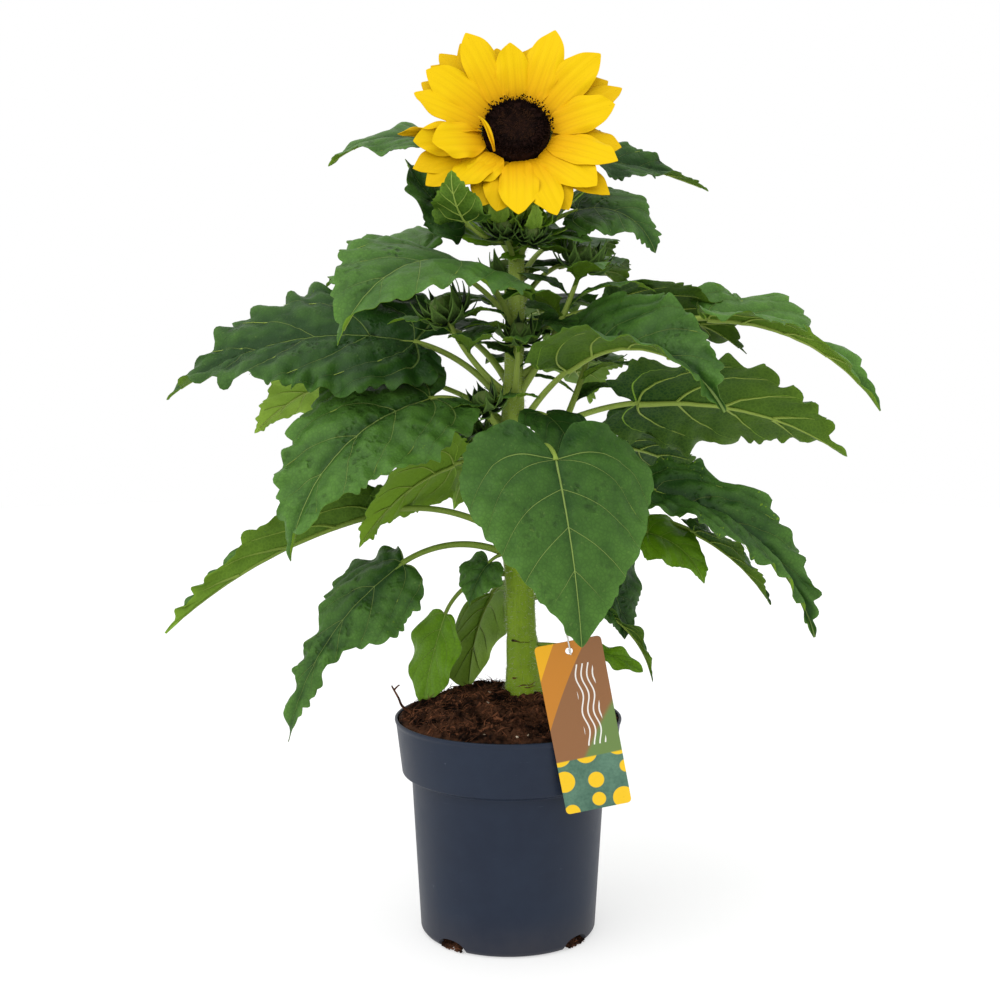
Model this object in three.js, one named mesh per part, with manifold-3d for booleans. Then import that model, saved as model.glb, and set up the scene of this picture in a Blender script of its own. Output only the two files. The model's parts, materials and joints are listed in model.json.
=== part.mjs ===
// A young sunflower plant in a nursery pot: one stem with one open flower head, large heart-shaped
// leaves on long stalks, side shoots that end in closed buds, and a hanging label.
// Millimetres, +Z up. The origin is the middle of the pot's flat underside; -Y is the plant's front.
import * as THREE from "three";
import { mergeVertices } from "three/addons/utils/BufferGeometryUtils.js";
import Module from "manifold-3d";

const wasm = await Module();
wasm.setup();

// Driving dimensions
const POT_HEIGHT = 163;
const POT_RIM_RADIUS = 85;
const POT_BAND_HEIGHT = 41;
const POT_BAND_FOOT_RADIUS = 79.5;
const POT_NECK_RADIUS = 72.5;
const POT_FOOT_RADIUS = 66;
const POT_WALL = 2;
const POT_LIP = 2;
const POT_FLOOR = 2;
const POT_NOTCH = { width: 26, height: 8, depth: 9, first: 50, count: 4 };
const SOIL_CROWN_RISE = 20;
const STEM_SEAT = 180;
const STEM_SEAT_RADIUS = 18;
const STEM_BASE_RADIUS = 12.5;
const STEM_TIP_RADIUS = 5.2;
const STEM_TAPER = 0.75;
const STEM_FLARE = { radius: 3.5, fade: 30 };
const FLOWER_RADIUS = 75;
const DISC_RADIUS = 24;
const FLOWER_TILT = 28;
const GAP = 0.3;
const NUDGE = 0.55;
const LEAF_LEAST_THICKNESS = 0.8;
const STEM_FOOT = STEM_SEAT + GAP;

const COLOURS = {
  pot: { color: 0x2b3647, roughness: 0.55 },
  soil: { color: 0x2e1a12, roughness: 1.0 },
  stem: { color: 0x7f9a45, roughness: 0.6 },
  leaf: { color: 0x2f6b35, roughness: 0.6 },
  youngLeaf: { color: 0x6f9a2a, roughness: 0.6 },
  petal: { color: 0xf7c90f, roughness: 0.5 },
  disc: { color: 0x22100c, roughness: 0.9 },
  calyx: { color: 0x4c7a3a, roughness: 0.7 },
  label: { color: 0xb5762f, roughness: 0.4 },
  tie: { color: 0xe8e6e0, roughness: 0.5 },
};

const radians = THREE.MathUtils.degToRad;
const vec = (x, y, z) => new THREE.Vector3(x, y, z);
const mix = (a, b, k) => a + (b - a) * k;

// Solids

function toSolid(geometry) {
  const bare = geometry.clone();
  bare.deleteAttribute("normal");
  bare.deleteAttribute("uv");
  const merged = mergeVertices(bare, 1e-4);
  return new wasm.Manifold(
    new wasm.Mesh({
      numProp: 3,
      vertProperties: new Float32Array(merged.attributes.position.array),
      triVerts: new Uint32Array(merged.index.array),
    }),
  );
}

function toGeometry(solid) {
  const mesh = solid.getMesh();
  const geometry = new THREE.BufferGeometry();
  const positions = new Float32Array(mesh.numVert * 3);
  for (let i = 0; i < mesh.numVert; i++) {
    positions.set(mesh.vertProperties.subarray(i * mesh.numProp, i * mesh.numProp + 3), i * 3);
  }
  geometry.setAttribute("position", new THREE.BufferAttribute(positions, 3));
  geometry.setIndex(new THREE.BufferAttribute(new Uint32Array(mesh.triVerts), 1));
  geometry.computeVertexNormals();
  return geometry;
}

function join(solids) {
  return wasm.Manifold.union(solids);
}

function largestBody(solid) {
  const bodies = solid.decompose();
  return bodies.reduce((best, body) => (body.volume() > best.volume() ? body : best));
}

function closedMesh(points, faces) {
  const geometry = new THREE.BufferGeometry();
  geometry.setAttribute(
    "position",
    new THREE.BufferAttribute(new Float32Array(points.flatMap((p) => [p.x, p.y, p.z])), 3),
  );
  geometry.setIndex(faces.flat());
  return toSolid(geometry);
}

function lathe(profile, segments) {
  const turned = new THREE.LatheGeometry(
    profile.map(([r, z]) => new THREE.Vector2(r, z)),
    segments,
  );
  return toSolid(turned.rotateX(Math.PI / 2));
}

// A round bar through a list of stations, each {point, along, side, up}, with a radius at each. A
// closed bar is a ring, whose last station is joined to its first.
function bar(stations, radii, sides, closed = false) {
  const points = [];
  const faces = [];
  stations.forEach((station, i) => {
    for (let k = 0; k < sides; k++) {
      const angle = (2 * Math.PI * k) / sides;
      points.push(
        station.point
          .clone()
          .addScaledVector(station.side, radii[i] * Math.cos(angle))
          .addScaledVector(station.up, radii[i] * Math.sin(angle)),
      );
    }
  });
  const last = (stations.length - 1) * sides;
  const spans = closed ? stations.length : stations.length - 1;
  for (let i = 0; i < spans; i++) {
    const next = ((i + 1) % stations.length) * sides;
    for (let k = 0; k < sides; k++) {
      const [a, b] = [i * sides + k, i * sides + ((k + 1) % sides)];
      const [c, d] = [next + k, next + ((k + 1) % sides)];
      faces.push([a, b, c], [b, d, c]);
    }
  }
  for (let k = 1; k < sides - 1 && !closed; k++) {
    faces.push([0, k + 1, k], [last, last + k, last + k + 1]);
  }
  return closedMesh(points, faces);
}

// The stem's centre line: a gentle S from the soil, then a neck that turns the flower to the front.
const STEM_LINE = new THREE.CatmullRomCurve3([
  vec(12, 0, STEM_FOOT),
  vec(9, 0, 250),
  vec(5, 0, 330),
  vec(3.5, 0, 400),
  vec(6, 2, 487),
  vec(5.5, 5, 555),
]);
const NECK_RADIUS = 26;
const NECK_SEGMENTS = 4;

function stemStations(count) {
  const stations = [];
  for (let i = 0; i < count; i++) {
    const along = i === 0 ? vec(0, 0, 1) : STEM_LINE.getTangent(i / (count - 1));
    const side = vec(1, 0, 0).addScaledVector(along, -along.x).normalize();
    stations.push({
      point: STEM_LINE.getPoint(i / (count - 1)),
      along,
      side,
      up: along.clone().cross(side),
    });
  }
  const start = stations[count - 1].point.clone();
  for (let i = 1; i <= NECK_SEGMENTS; i++) {
    const turn = radians((90 - FLOWER_TILT) * (i / NECK_SEGMENTS));
    const point = start
      .clone()
      .add(vec(0, -NECK_RADIUS * (1 - Math.cos(turn)), NECK_RADIUS * Math.sin(turn)));
    const along = vec(0, -Math.sin(turn), Math.cos(turn));
    stations.push({ point, along, side: vec(1, 0, 0), up: along.clone().cross(vec(1, 0, 0)) });
  }
  return stations;
}

function stemPointAt(height) {
  let low = 0;
  let high = 1;
  for (let i = 0; i < 30; i++) {
    const middle = (low + high) / 2;
    if (STEM_LINE.getPoint(middle).z < height) low = middle;
    else high = middle;
  }
  return STEM_LINE.getPoint(low);
}

function stemRadius(share) {
  const flare = STEM_FLARE.radius * Math.exp(-share * STEM_FLARE.fade);
  return mix(STEM_BASE_RADIUS, STEM_TIP_RADIUS, share ** STEM_TAPER) + flare;
}

const STEM_COUNT = 11;
const STEM_SIDES = 10;

function stemSolid(extra = 0) {
  const stations = stemStations(STEM_COUNT);
  const radii = stations.map((_, i) => stemRadius(i / (stations.length - 1)) + extra);
  return bar(stations, radii, STEM_SIDES);
}

// Leaves

// The blade's outline in shares: x along the midrib from the stalk's joint to the tip, y out to the
// widest place. It starts and ends on the midrib, and its first stretch is the lobe beside the stalk.
const BLADE_OUTLINE = [
  [0, 0],
  [-0.11, 0.26],
  [-0.11, 0.58],
  [0.02, 0.88],
  [0.2, 1],
  [0.4, 0.9],
  [0.58, 0.65],
  [0.75, 0.36],
  [0.89, 0.13],
  [1, 0],
];

// A small leaf on a side shoot, whose short stalk is the narrow start of its blade.
const SMALL_OUTLINE = [
  [0, 0.12],
  [0.14, 0.1],
  [0.25, 0.45],
  [0.42, 0.96],
  [0.62, 0.85],
  [0.84, 0.34],
  [1, 0],
];

function spline(points, share) {
  const spans = points.length - 1;
  const at = Math.min(share * spans, spans - 1e-9);
  const i = Math.floor(at);
  const k = at - i;
  const p = [-1, 0, 1, 2].map((d) => points[Math.min(Math.max(i + d, 0), spans)]);
  return [0, 1].map((c) => {
    const [a, b, d, e] = p.map((point) => point[c]);
    const cubic = 3 * b - a - 3 * d + e;
    return 0.5 * (2 * b + (d - a) * k + (2 * a - 5 * b + 4 * d - e) * k * k + cubic * k ** 3);
  });
}

const LEAF_DEFAULTS = {
  crook: 1,
  swing: 0,
  tilt: 0,
  twist: 0,
  curl: 0,
  fold: 12,
  cup: 30,
  ruffle: 3,
  lobe: 1,
  young: false,
};

const PATH_STEPS = 20;
const WAVES = { count: 2.3, left: 0.1, right: 0.55 };
const LARGE_BLADE = 100;

// Walks out along the stalk and then the midrib. Headings and elevations are in degrees: heading 0 is
// +X and 90 is +Y, and a positive elevation points up.
function leafPath(leaf, root) {
  const stalk = [];
  const rib = [];
  const point = root.clone();
  const station = (elevation, heading, roll) => {
    const e = radians(elevation);
    const h = radians(heading);
    const r = radians(roll);
    const along = vec(Math.cos(e) * Math.cos(h), Math.cos(e) * Math.sin(h), Math.sin(e));
    const level = vec(-Math.sin(h), Math.cos(h), 0);
    const above = along.clone().cross(level);
    const side = level.clone().multiplyScalar(Math.cos(r)).addScaledVector(above, Math.sin(r));
    const up = above.clone().multiplyScalar(Math.cos(r)).addScaledVector(level, -Math.sin(r));
    return { point: point.clone(), along, side, up };
  };
  for (let i = 0; i <= PATH_STEPS; i++) {
    const k = i / PATH_STEPS;
    const here = station(
      mix(leaf.rise, leaf.level, k ** leaf.crook),
      leaf.heading + leaf.swing * k,
      leaf.tilt * k * k,
    );
    stalk.push(here);
    if (i < PATH_STEPS) point.addScaledVector(here.along, leaf.petiole / PATH_STEPS);
  }
  for (let i = 0; i <= PATH_STEPS; i++) {
    const k = i / PATH_STEPS;
    const here = station(
      mix(leaf.level, leaf.droop, k),
      leaf.heading + leaf.swing + leaf.curl * k,
      leaf.tilt + leaf.twist * k,
    );
    rib.push(here);
    if (i < PATH_STEPS) point.addScaledVector(here.along, leaf.blade / PATH_STEPS);
  }
  return { stalk, rib };
}

function between(stations, share) {
  const at = Math.min(Math.max(share, 0), 1) * (stations.length - 1);
  const i = Math.min(Math.floor(at), stations.length - 2);
  const k = at - i;
  const a = stations[i];
  const b = stations[i + 1];
  const blend = (key) => a[key].clone().lerp(b[key], k);
  return {
    point: blend("point"),
    along: blend("along").normalize(),
    side: blend("side").normalize(),
    up: blend("up").normalize(),
  };
}

// Bends the flat blade: x is a share of the midrib and y a signed share of the half width. Each half
// leaves the midrib at the fold angle and curves down towards its edge by the cup angle.
function bladePoint(leaf, rib, x, y) {
  const station = between(rib, x);
  const half = leaf.width / 2;
  const out = Math.abs(y);
  const fold = radians(leaf.fold);
  const cup = radians(leaf.cup) || 1e-6;
  const across = (half * (Math.sin(fold) - Math.sin(fold - cup * out))) / cup;
  const raised = (half * (Math.cos(fold - cup * out) - Math.cos(fold))) / cup;
  const phase = WAVES.count * x + (y > 0 ? WAVES.left : WAVES.right);
  const wave = leaf.ruffle * out * out * Math.sin(2 * Math.PI * phase);
  const beyond = (Math.min(x, 0) + Math.max(x - 1, 0)) * leaf.blade;
  const lean = Math.sign(y) * (fold - cup * out);
  return {
    point: station.point
      .clone()
      .addScaledVector(station.along, beyond)
      .addScaledVector(station.side, Math.sign(y) * across)
      .addScaledVector(station.up, raised + wave),
    normal: station.up
      .clone()
      .multiplyScalar(Math.cos(lean))
      .addScaledVector(station.side, -Math.sin(lean)),
  };
}

// The blade as a closed sheet. Rows run from the stalk to the tip and columns from edge to edge across
// the midrib.
function bladeSolid(leaf, rib, options = {}) {
  const usualRows = leaf.blade > LARGE_BLADE ? 7 : 5;
  const { rows = usualRows, columns = 2, teeth = 0.06, outline = BLADE_OUTLINE } = options;
  const thick = Math.max(leaf.blade / 100, LEAF_LEAST_THICKNESS) / 2;
  const wide = 2 * columns + 1;
  const points = [];
  const addPair = ({ point, normal }) => {
    points.push(point.clone().addScaledVector(normal, thick));
    points.push(point.clone().addScaledVector(normal, -thick));
    return points.length - 2;
  };
  const grid = Array.from({ length: rows + 1 }, (_, i) => {
    if (i === 0 || i === rows) return Array(wide).fill(addPair(bladePoint(leaf, rib, i / rows, 0)));
    const share = i / rows;
    const [edgeX, edgeY] = spline(outline, share);
    const notch = i % 2 === 1 ? 1 : 1 - teeth;
    const outerX = edgeX < 0 ? edgeX * leaf.lobe : edgeX;
    return Array.from({ length: wide }, (_, j) => {
      const u = (j - columns) / columns;
      return addPair(bladePoint(leaf, rib, mix(share ** 2, outerX, Math.abs(u)), u * edgeY * notch));
    });
  });
  const faces = [];
  for (let i = 0; i < rows; i++) {
    for (let j = 0; j < wide - 1; j++) {
      const [a, b, c, d] = [grid[i][j], grid[i][j + 1], grid[i + 1][j + 1], grid[i + 1][j]];
      if (a !== b) faces.push([a, b, c], [a + 1, c + 1, b + 1]);
      if (c !== d) faces.push([a, c, d], [a + 1, d + 1, c + 1]);
    }
    const [a, b, c, d] = [grid[i][0], grid[i + 1][0], grid[i][wide - 1], grid[i + 1][wide - 1]];
    faces.push([a, b + 1, a + 1], [a, b, b + 1], [c, c + 1, d + 1], [c, d + 1, d]);
  }
  const solid = closedMesh(points, faces);
  return solid.volume() < 0 ? closedMesh(points, faces.map(([a, b, c]) => [a, c, b])) : solid;
}

const STALK_SIDES = 3;
const STALK_SEGMENTS = 5;
const STALK_ROOT = { least: 2, bladeShare: 1 / 55, most: 4.6 };
const STALK_NECK = 0.6;
const RIB_REACH = 0.09;
const RIB_SINK = 0.5;

// The stalk runs from the stem's centre line out to the blade and on under it as the midrib.
function stalkSolid(leaf, path) {
  const root = Math.min(STALK_ROOT.least + leaf.blade * STALK_ROOT.bladeShare, STALK_ROOT.most);
  const neck = root * STALK_NECK;
  const stations = [];
  const radii = [];
  for (let i = 0; i <= STALK_SEGMENTS; i++) {
    const k = i / STALK_SEGMENTS;
    stations.push(between(path.stalk, k));
    radii.push(mix(root, neck, Math.sqrt(k)));
  }
  const end = between(path.rib, RIB_REACH);
  end.point.addScaledVector(end.up, -RIB_SINK);
  stations.push(end);
  radii.push(neck * STALK_NECK);
  return bar(stations, radii, STALK_SIDES);
}

function leafSolid(leaf) {
  const path = leafPath(leaf, stemPointAt(leaf.at));
  return join([bladeSolid(leaf, path.rib), stalkSolid(leaf, path)]);
}

// Every large leaf, lowest first. at is the height on the stem where its stalk leaves. petiole, blade and
// width are lengths; rise, level and droop are the elevations at the stem, the blade's base and its tip.
const LEAVES = [
  {
    name: "leaf_low_right", at: 217, heading: 10, petiole: 52, rise: 4, level: -12,
    blade: 44, width: 32, droop: -36, tilt: 30, young: true,
  },
  {
    name: "leaf_low_back", at: 262, heading: 108, petiole: 46, rise: 10, level: -45,
    blade: 90, width: 72, droop: -88, tilt: -20, young: true,
  },
  {
    name: "leaf_low_tail", at: 251, heading: 15, petiole: 78, rise: 10, level: -38,
    blade: 62, width: 30, droop: -80, fold: 45, young: false,
  },
  {
    name: "leaf_low_front_left", at: 270, heading: 208, petiole: 52, rise: 25, level: -50,
    blade: 80, width: 42, droop: -86, tilt: -40, young: true,
  },
  {
    name: "leaf_low_left", at: 281, heading: 195, petiole: 94, rise: 32, level: -34,
    blade: 158, width: 82, droop: -80, tilt: -40, fold: -6, lobe: 0.6,
  },
  {
    name: "leaf_low_bud", at: 285, heading: 160, petiole: 26, rise: 20, level: -25,
    blade: 46, width: 36, droop: -60, tilt: -30,
  },
  {
    name: "leaf_low_far_left", at: 292, heading: 187, petiole: 114, rise: 40, level: -16,
    blade: 176, width: 76, droop: -44, tilt: 6, fold: 62, cup: 10,
  },
  {
    name: "leaf_right_dark", at: 290, heading: 32, petiole: 66, rise: 20, level: -45,
    blade: 74, width: 58, droop: -88, tilt: 20,
  },
  {
    name: "leaf_right_small", at: 281, heading: 20, petiole: 108, rise: 20, level: -10,
    blade: 58, width: 54, droop: -52, tilt: -30, young: true,
  },
  {
    name: "leaf_right_thin", at: 296, heading: 12, petiole: 138, rise: 25, level: -12,
    blade: 96, width: 46, droop: -80, fold: 50,
  },
  {
    name: "leaf_right_low", at: 303, heading: 345, petiole: 112, rise: 35, level: -8,
    blade: 164, width: 80, droop: -78, tilt: 34,
  },
  {
    name: "leaf_front", at: 296, heading: 274, petiole: 150, rise: 48, level: -58,
    blade: 128, width: 136, droop: -80, fold: 6, cup: 24, crook: 4, swing: 16, lobe: 1.8,
  },
  {
    name: "leaf_back_low", at: 300, heading: 80, petiole: 100, rise: 35, level: -10,
    blade: 150, width: 104, droop: -70,
  },
  {
    name: "leaf_back_low_left", at: 325, heading: 104, petiole: 92, rise: 40, level: 0,
    blade: 145, width: 104, droop: -55,
  },
  {
    name: "leaf_left_under", at: 341, heading: 200, petiole: 52, rise: 45, level: -18,
    blade: 94, width: 84, droop: -62, tilt: 42,
  },
  {
    name: "leaf_left_front", at: 352, heading: 208, petiole: 100, rise: 53, level: -6,
    blade: 152, width: 112, droop: -84, tilt: -26,
  },
  {
    name: "leaf_right_mid_low", at: 344, heading: 38, petiole: 112, rise: 24, level: -8,
    blade: 96, width: 48, droop: -44, tilt: -30,
  },
  {
    name: "leaf_right_mid", at: 363, heading: 12, petiole: 102, rise: 34, level: 4,
    blade: 178, width: 112, droop: -34, tilt: -42,
  },
  {
    name: "leaf_right_front", at: 370, heading: 320, petiole: 66, rise: 58, level: 32,
    blade: 156, width: 104, droop: -50, fold: 44, cup: 20, tilt: 8,
  },
  {
    name: "leaf_centre_small", at: 352, heading: 270, petiole: 26, rise: 30, level: 0,
    blade: 62, width: 36, droop: -84,
  },
  {
    name: "leaf_left_light", at: 378, heading: 165, petiole: 142, rise: 35, level: 0,
    blade: 86, width: 74, droop: -44, tilt: 24, young: true,
  },
  {
    name: "leaf_back_right", at: 386, heading: 72, petiole: 92, rise: 45, level: 8,
    blade: 155, width: 108, droop: -42,
  },
  {
    name: "leaf_left_far", at: 385, heading: 178, petiole: 96, rise: 62, level: 12,
    blade: 196, width: 134, droop: -40, tilt: -34,
  },
  {
    name: "leaf_back_left", at: 405, heading: 128, petiole: 88, rise: 50, level: 12,
    blade: 150, width: 104, droop: -34,
  },
  {
    name: "leaf_right_far", at: 414, heading: 2, petiole: 152, rise: 42, level: 2,
    blade: 162, width: 76, droop: -58, tilt: 16, fold: 34,
  },
  {
    name: "leaf_centre_upper", at: 457, heading: 336, petiole: 18, rise: 8, level: 0,
    blade: 46, width: 32, droop: -30, tilt: 20,
  },
  {
    name: "leaf_back", at: 428, heading: 82, petiole: 82, rise: 55, level: 10,
    blade: 150, width: 106, droop: -38,
  },
  {
    name: "leaf_top_left_front", at: 440, heading: 232, petiole: 64, rise: 78, level: 24,
    blade: 170, width: 134, droop: -62, tilt: -20, lobe: 1.5,
  },
  {
    name: "leaf_right_upper", at: 440, heading: 16, petiole: 84, rise: 36, level: 2,
    blade: 116, width: 84, droop: -40, tilt: -30,
  },
  {
    name: "leaf_back_upper_left", at: 452, heading: 152, petiole: 118, rise: 52, level: 8,
    blade: 98, width: 98, droop: -36, tilt: -30,
  },
  {
    name: "leaf_back_upper_right", at: 462, heading: 56, petiole: 72, rise: 50, level: 12,
    blade: 106, width: 80, droop: -36,
  },
  {
    name: "leaf_back_top", at: 478, heading: 60, petiole: 62, rise: 56, level: 14,
    blade: 112, width: 74, droop: -24,
  },
  {
    name: "leaf_back_top_left", at: 494, heading: 118, petiole: 58, rise: 52, level: 16,
    blade: 100, width: 66, droop: -24,
  },
  {
    name: "leaf_top_right_mid", at: 509, heading: 346, petiole: 54, rise: 48, level: 14,
    blade: 72, width: 64, droop: -76, tilt: 36,
  },
  {
    name: "leaf_bract_left", at: 516, heading: 190, petiole: 40, rise: 4, level: 30,
    blade: 64, width: 40, droop: 66, tilt: -30, lobe: 0.3,
  },
  {
    name: "leaf_bract_front", at: 519, heading: 222, petiole: 34, rise: 0, level: 40,
    blade: 46, width: 42, droop: 76, lobe: 0.3,
  },
  {
    name: "leaf_bract_right", at: 522, heading: 322, petiole: 10, rise: 10, level: 12,
    blade: 58, width: 34, droop: 24, tilt: 20, lobe: 0.3,
  },
  {
    name: "leaf_top_right", at: 527, heading: 25, petiole: 100, rise: 71, level: 18,
    blade: 110, width: 50, droop: -56, tilt: 12, fold: 26, lobe: 0.4,
  },
  {
    name: "leaf_top_left", at: 532, heading: 160, petiole: 96, rise: 62, level: 14,
    blade: 84, width: 48, droop: -32, tilt: -12, lobe: 0.4,
  },
].map((leaf) => ({ ...LEAF_DEFAULTS, ...leaf }));

// Side shoots: a stem with small leaves set round it by the golden angle, and a closed bud at the tip.
const GOLDEN_ANGLE = 137.5;
const SHOOT_DEFAULTS = { leaves: 3, leaf: 38, bud: 11, radius: 3.4, start: 0.55, turn: 0 };
const SHOOT_LEAF = { rise: 42, droop: -25, long: 1.3, wide: 0.6, lowest: 1.15, highest: 0.75 };
const SHOOT_SEGMENTS = 5;
const SHOOTS = [
  {
    name: "shoot_left", at: 401, heading: 204, petiole: 88, rise: 52, level: 72,
    bud: 12, turn: 70, leaves: 3,
  },
  {
    name: "shoot_front_left", at: 366, heading: 226, petiole: 48, rise: 35, level: 62, leaves: 2,
    leaf: 34, bud: 9,
  },
  {
    name: "shoot_front_right", at: 392, heading: 280, petiole: 64, rise: 58, level: 76, leaves: 3,
    leaf: 28, bud: 9, turn: 80,
  },
  {
    name: "shoot_right", at: 398, heading: 346, petiole: 120, rise: 54, level: 74,
    leaf: 44, bud: 11, turn: 110, leaves: 3,
  },
  {
    name: "shoot_right_back", at: 318, heading: 44, petiole: 150, rise: 44, level: 70,
    leaf: 46, bud: 11, radius: 4.2, start: 0.6,
  },
  {
    name: "shoot_back", at: 410, heading: 98, petiole: 96, rise: 56, level: 76,
    leaf: 44, bud: 10, turn: 70, leaves: 2,
  },
  {
    name: "shoot_back_left", at: 302, heading: 150, petiole: 84, rise: 50, level: 76,
    leaf: 44, bud: 10, turn: 60, leaves: 3,
  },
].map((shoot) => ({ ...SHOOT_DEFAULTS, ...shoot }));

const BUD_PROFILE = [
  [0, -0.9],
  [0.62, -0.75],
  [1, -0.1],
  [0.86, 0.55],
  [0, 0.95],
];
const BUD_SIDES = 5;
const BUD_SPIKES = { count: 5, radius: 0.3, length: 1.5, seat: 0.9, lean: 0.42 };

// Turns a station's own frame into a matrix whose Z is the direction of growth.
function frameOf(station) {
  const { side, up, along, point } = station;
  return new THREE.Matrix4().makeBasis(side, up, along).setPosition(point);
}

function budSolid(shoot, station) {
  const body = new THREE.LatheGeometry(
    BUD_PROFILE.map(([r, z]) => new THREE.Vector2(r * shoot.bud, z * shoot.bud)),
    BUD_SIDES,
  ).rotateX(Math.PI / 2);
  const { count, radius, length, seat, lean } = BUD_SPIKES;
  const spikes = Array.from({ length: count }, (_, i) =>
    new THREE.ConeGeometry(shoot.bud * radius, shoot.bud * length, 3)
      .rotateX(Math.PI / 2)
      .translate(0, 0, shoot.bud * seat)
      .rotateY(lean)
      .rotateZ((2 * Math.PI * i) / count),
  );
  const place = frameOf(station);
  return join([body, ...spikes].map((geometry) => toSolid(geometry.applyMatrix4(place))));
}

function shootSolid(shoot) {
  const line = { ...LEAF_DEFAULTS, ...shoot, blade: 1, droop: shoot.level };
  const path = leafPath(line, stemPointAt(shoot.at));
  const stations = [];
  const radii = [];
  for (let i = 0; i <= SHOOT_SEGMENTS; i++) {
    stations.push(between(path.stalk, i / SHOOT_SEGMENTS));
    radii.push(mix(shoot.radius, shoot.radius * STALK_NECK, i / SHOOT_SEGMENTS));
  }
  const parts = [bar(stations, radii, STALK_SIDES)];
  for (let i = 0; i < shoot.leaves; i++) {
    const share = mix(shoot.start, 0.97, (i + 0.5) / shoot.leaves);
    const size = shoot.leaf * mix(SHOOT_LEAF.lowest, SHOOT_LEAF.highest, i / shoot.leaves);
    const small = {
      ...LEAF_DEFAULTS,
      heading: shoot.heading + shoot.turn + GOLDEN_ANGLE * i,
      petiole: 0,
      rise: SHOOT_LEAF.rise,
      level: SHOOT_LEAF.rise,
      blade: size * SHOOT_LEAF.long,
      width: size * SHOOT_LEAF.wide,
      droop: SHOOT_LEAF.droop,
      ruffle: 1,
    };
    const { rib } = leafPath(small, between(path.stalk, share).point);
    parts.push(bladeSolid(small, rib, { rows: 4, columns: 1, teeth: 0, outline: SMALL_OUTLINE }));
  }
  parts.push(budSolid(shoot, between(path.stalk, 1)));
  return largestBody(join(parts));
}

// Pot, soil and label

const POT_SEGMENTS = 32;

function potSolid() {
  const bandFoot = POT_HEIGHT - POT_BAND_HEIGHT;
  const outside = [
    [0, 0],
    [POT_FOOT_RADIUS - 3, 0],
    [POT_FOOT_RADIUS, 4],
    [POT_NECK_RADIUS, bandFoot - 3],
    [POT_BAND_FOOT_RADIUS, bandFoot],
    [POT_RIM_RADIUS - 0.8, POT_HEIGHT - POT_LIP - 1],
    [POT_RIM_RADIUS, POT_HEIGHT - POT_LIP],
    [POT_RIM_RADIUS, POT_HEIGHT],
  ];
  const inside = [
    [POT_RIM_RADIUS - POT_WALL, POT_HEIGHT],
    [POT_BAND_FOOT_RADIUS - POT_WALL, bandFoot + 3],
    [POT_NECK_RADIUS - POT_WALL, bandFoot - 2],
    [POT_FOOT_RADIUS - POT_WALL, 6],
    [POT_FOOT_RADIUS - 6, POT_FLOOR],
    [0, POT_FLOOR],
  ];
  const shell = lathe([...outside, ...inside], POT_SEGMENTS);
  const notches = Array.from({ length: POT_NOTCH.count }, (_, i) => {
    const angle = radians(POT_NOTCH.first + (360 / POT_NOTCH.count) * i);
    const box = new THREE.BoxGeometry(2 * POT_NOTCH.depth, POT_NOTCH.width, 2 * POT_NOTCH.height);
    return toSolid(box.translate(POT_FOOT_RADIUS, 0, 0).rotateZ(angle));
  });
  return shell.subtract(join(notches));
}

const SOIL_EDGE_RADIUS = POT_RIM_RADIUS - POT_WALL - 1;
const SOIL_SEGMENTS = 28;
const SOIL_RINGS = 5;

// The soil's top: a low dome with lumps made of a few crossed waves.
function soilTop(x, y) {
  const share = Math.min(Math.hypot(x, y) / SOIL_EDGE_RADIUS, 1);
  const dome = SOIL_CROWN_RISE * (1 - share ** 2.2);
  const lumps = 1.6 * Math.sin(x / 7.3 + 1.1) * Math.cos(y / 8.9) + 1.1 * Math.sin((x + y) / 4.7);
  return POT_HEIGHT - 1 + dome + lumps * (1 - share ** 6);
}

function soilSolid() {
  const bandFoot = POT_HEIGHT - POT_BAND_HEIGHT;
  const profile = [
    [0, POT_FLOOR + GAP],
    [POT_FOOT_RADIUS - 7, POT_FLOOR + GAP],
    [POT_FOOT_RADIUS - POT_WALL - 0.8, 7],
    [POT_NECK_RADIUS - POT_WALL - 0.5, bandFoot - 2],
    [POT_BAND_FOOT_RADIUS - POT_WALL - 0.8, bandFoot + 4],
    [SOIL_EDGE_RADIUS, POT_HEIGHT - 1],
  ];
  for (let i = SOIL_RINGS - 1; i >= 0; i--) {
    profile.push([(SOIL_EDGE_RADIUS * i) / SOIL_RINGS, POT_HEIGHT]);
  }
  const turned = new THREE.LatheGeometry(
    profile.map(([r, z]) => new THREE.Vector2(r, z)),
    SOIL_SEGMENTS,
  ).rotateX(Math.PI / 2);
  const position = turned.attributes.position;
  for (let i = 0; i < position.count; i++) {
    if (position.getZ(i) < POT_HEIGHT - 0.5) continue;
    position.setZ(i, soilTop(position.getX(i), position.getY(i)));
  }
  const foot = STEM_LINE.points[0];
  const seat = new THREE.CylinderGeometry(STEM_SEAT_RADIUS, STEM_SEAT_RADIUS, 2 * SOIL_CROWN_RISE, 16)
    .rotateX(Math.PI / 2)
    .translate(foot.x, foot.y, STEM_SEAT + SOIL_CROWN_RISE);
  return toSolid(turned).subtract(toSolid(seat));
}

const LABEL = { width: 47, height: 126, thick: 0.8, corner: 3, hole: 2.6, holeDrop: 7 };
const LABEL_LEAN = 11;
const LABEL_SET_BACK = 6.3;
const LABEL_HOLE_AT = vec(41.8, -86.9, 230.2);

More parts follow.
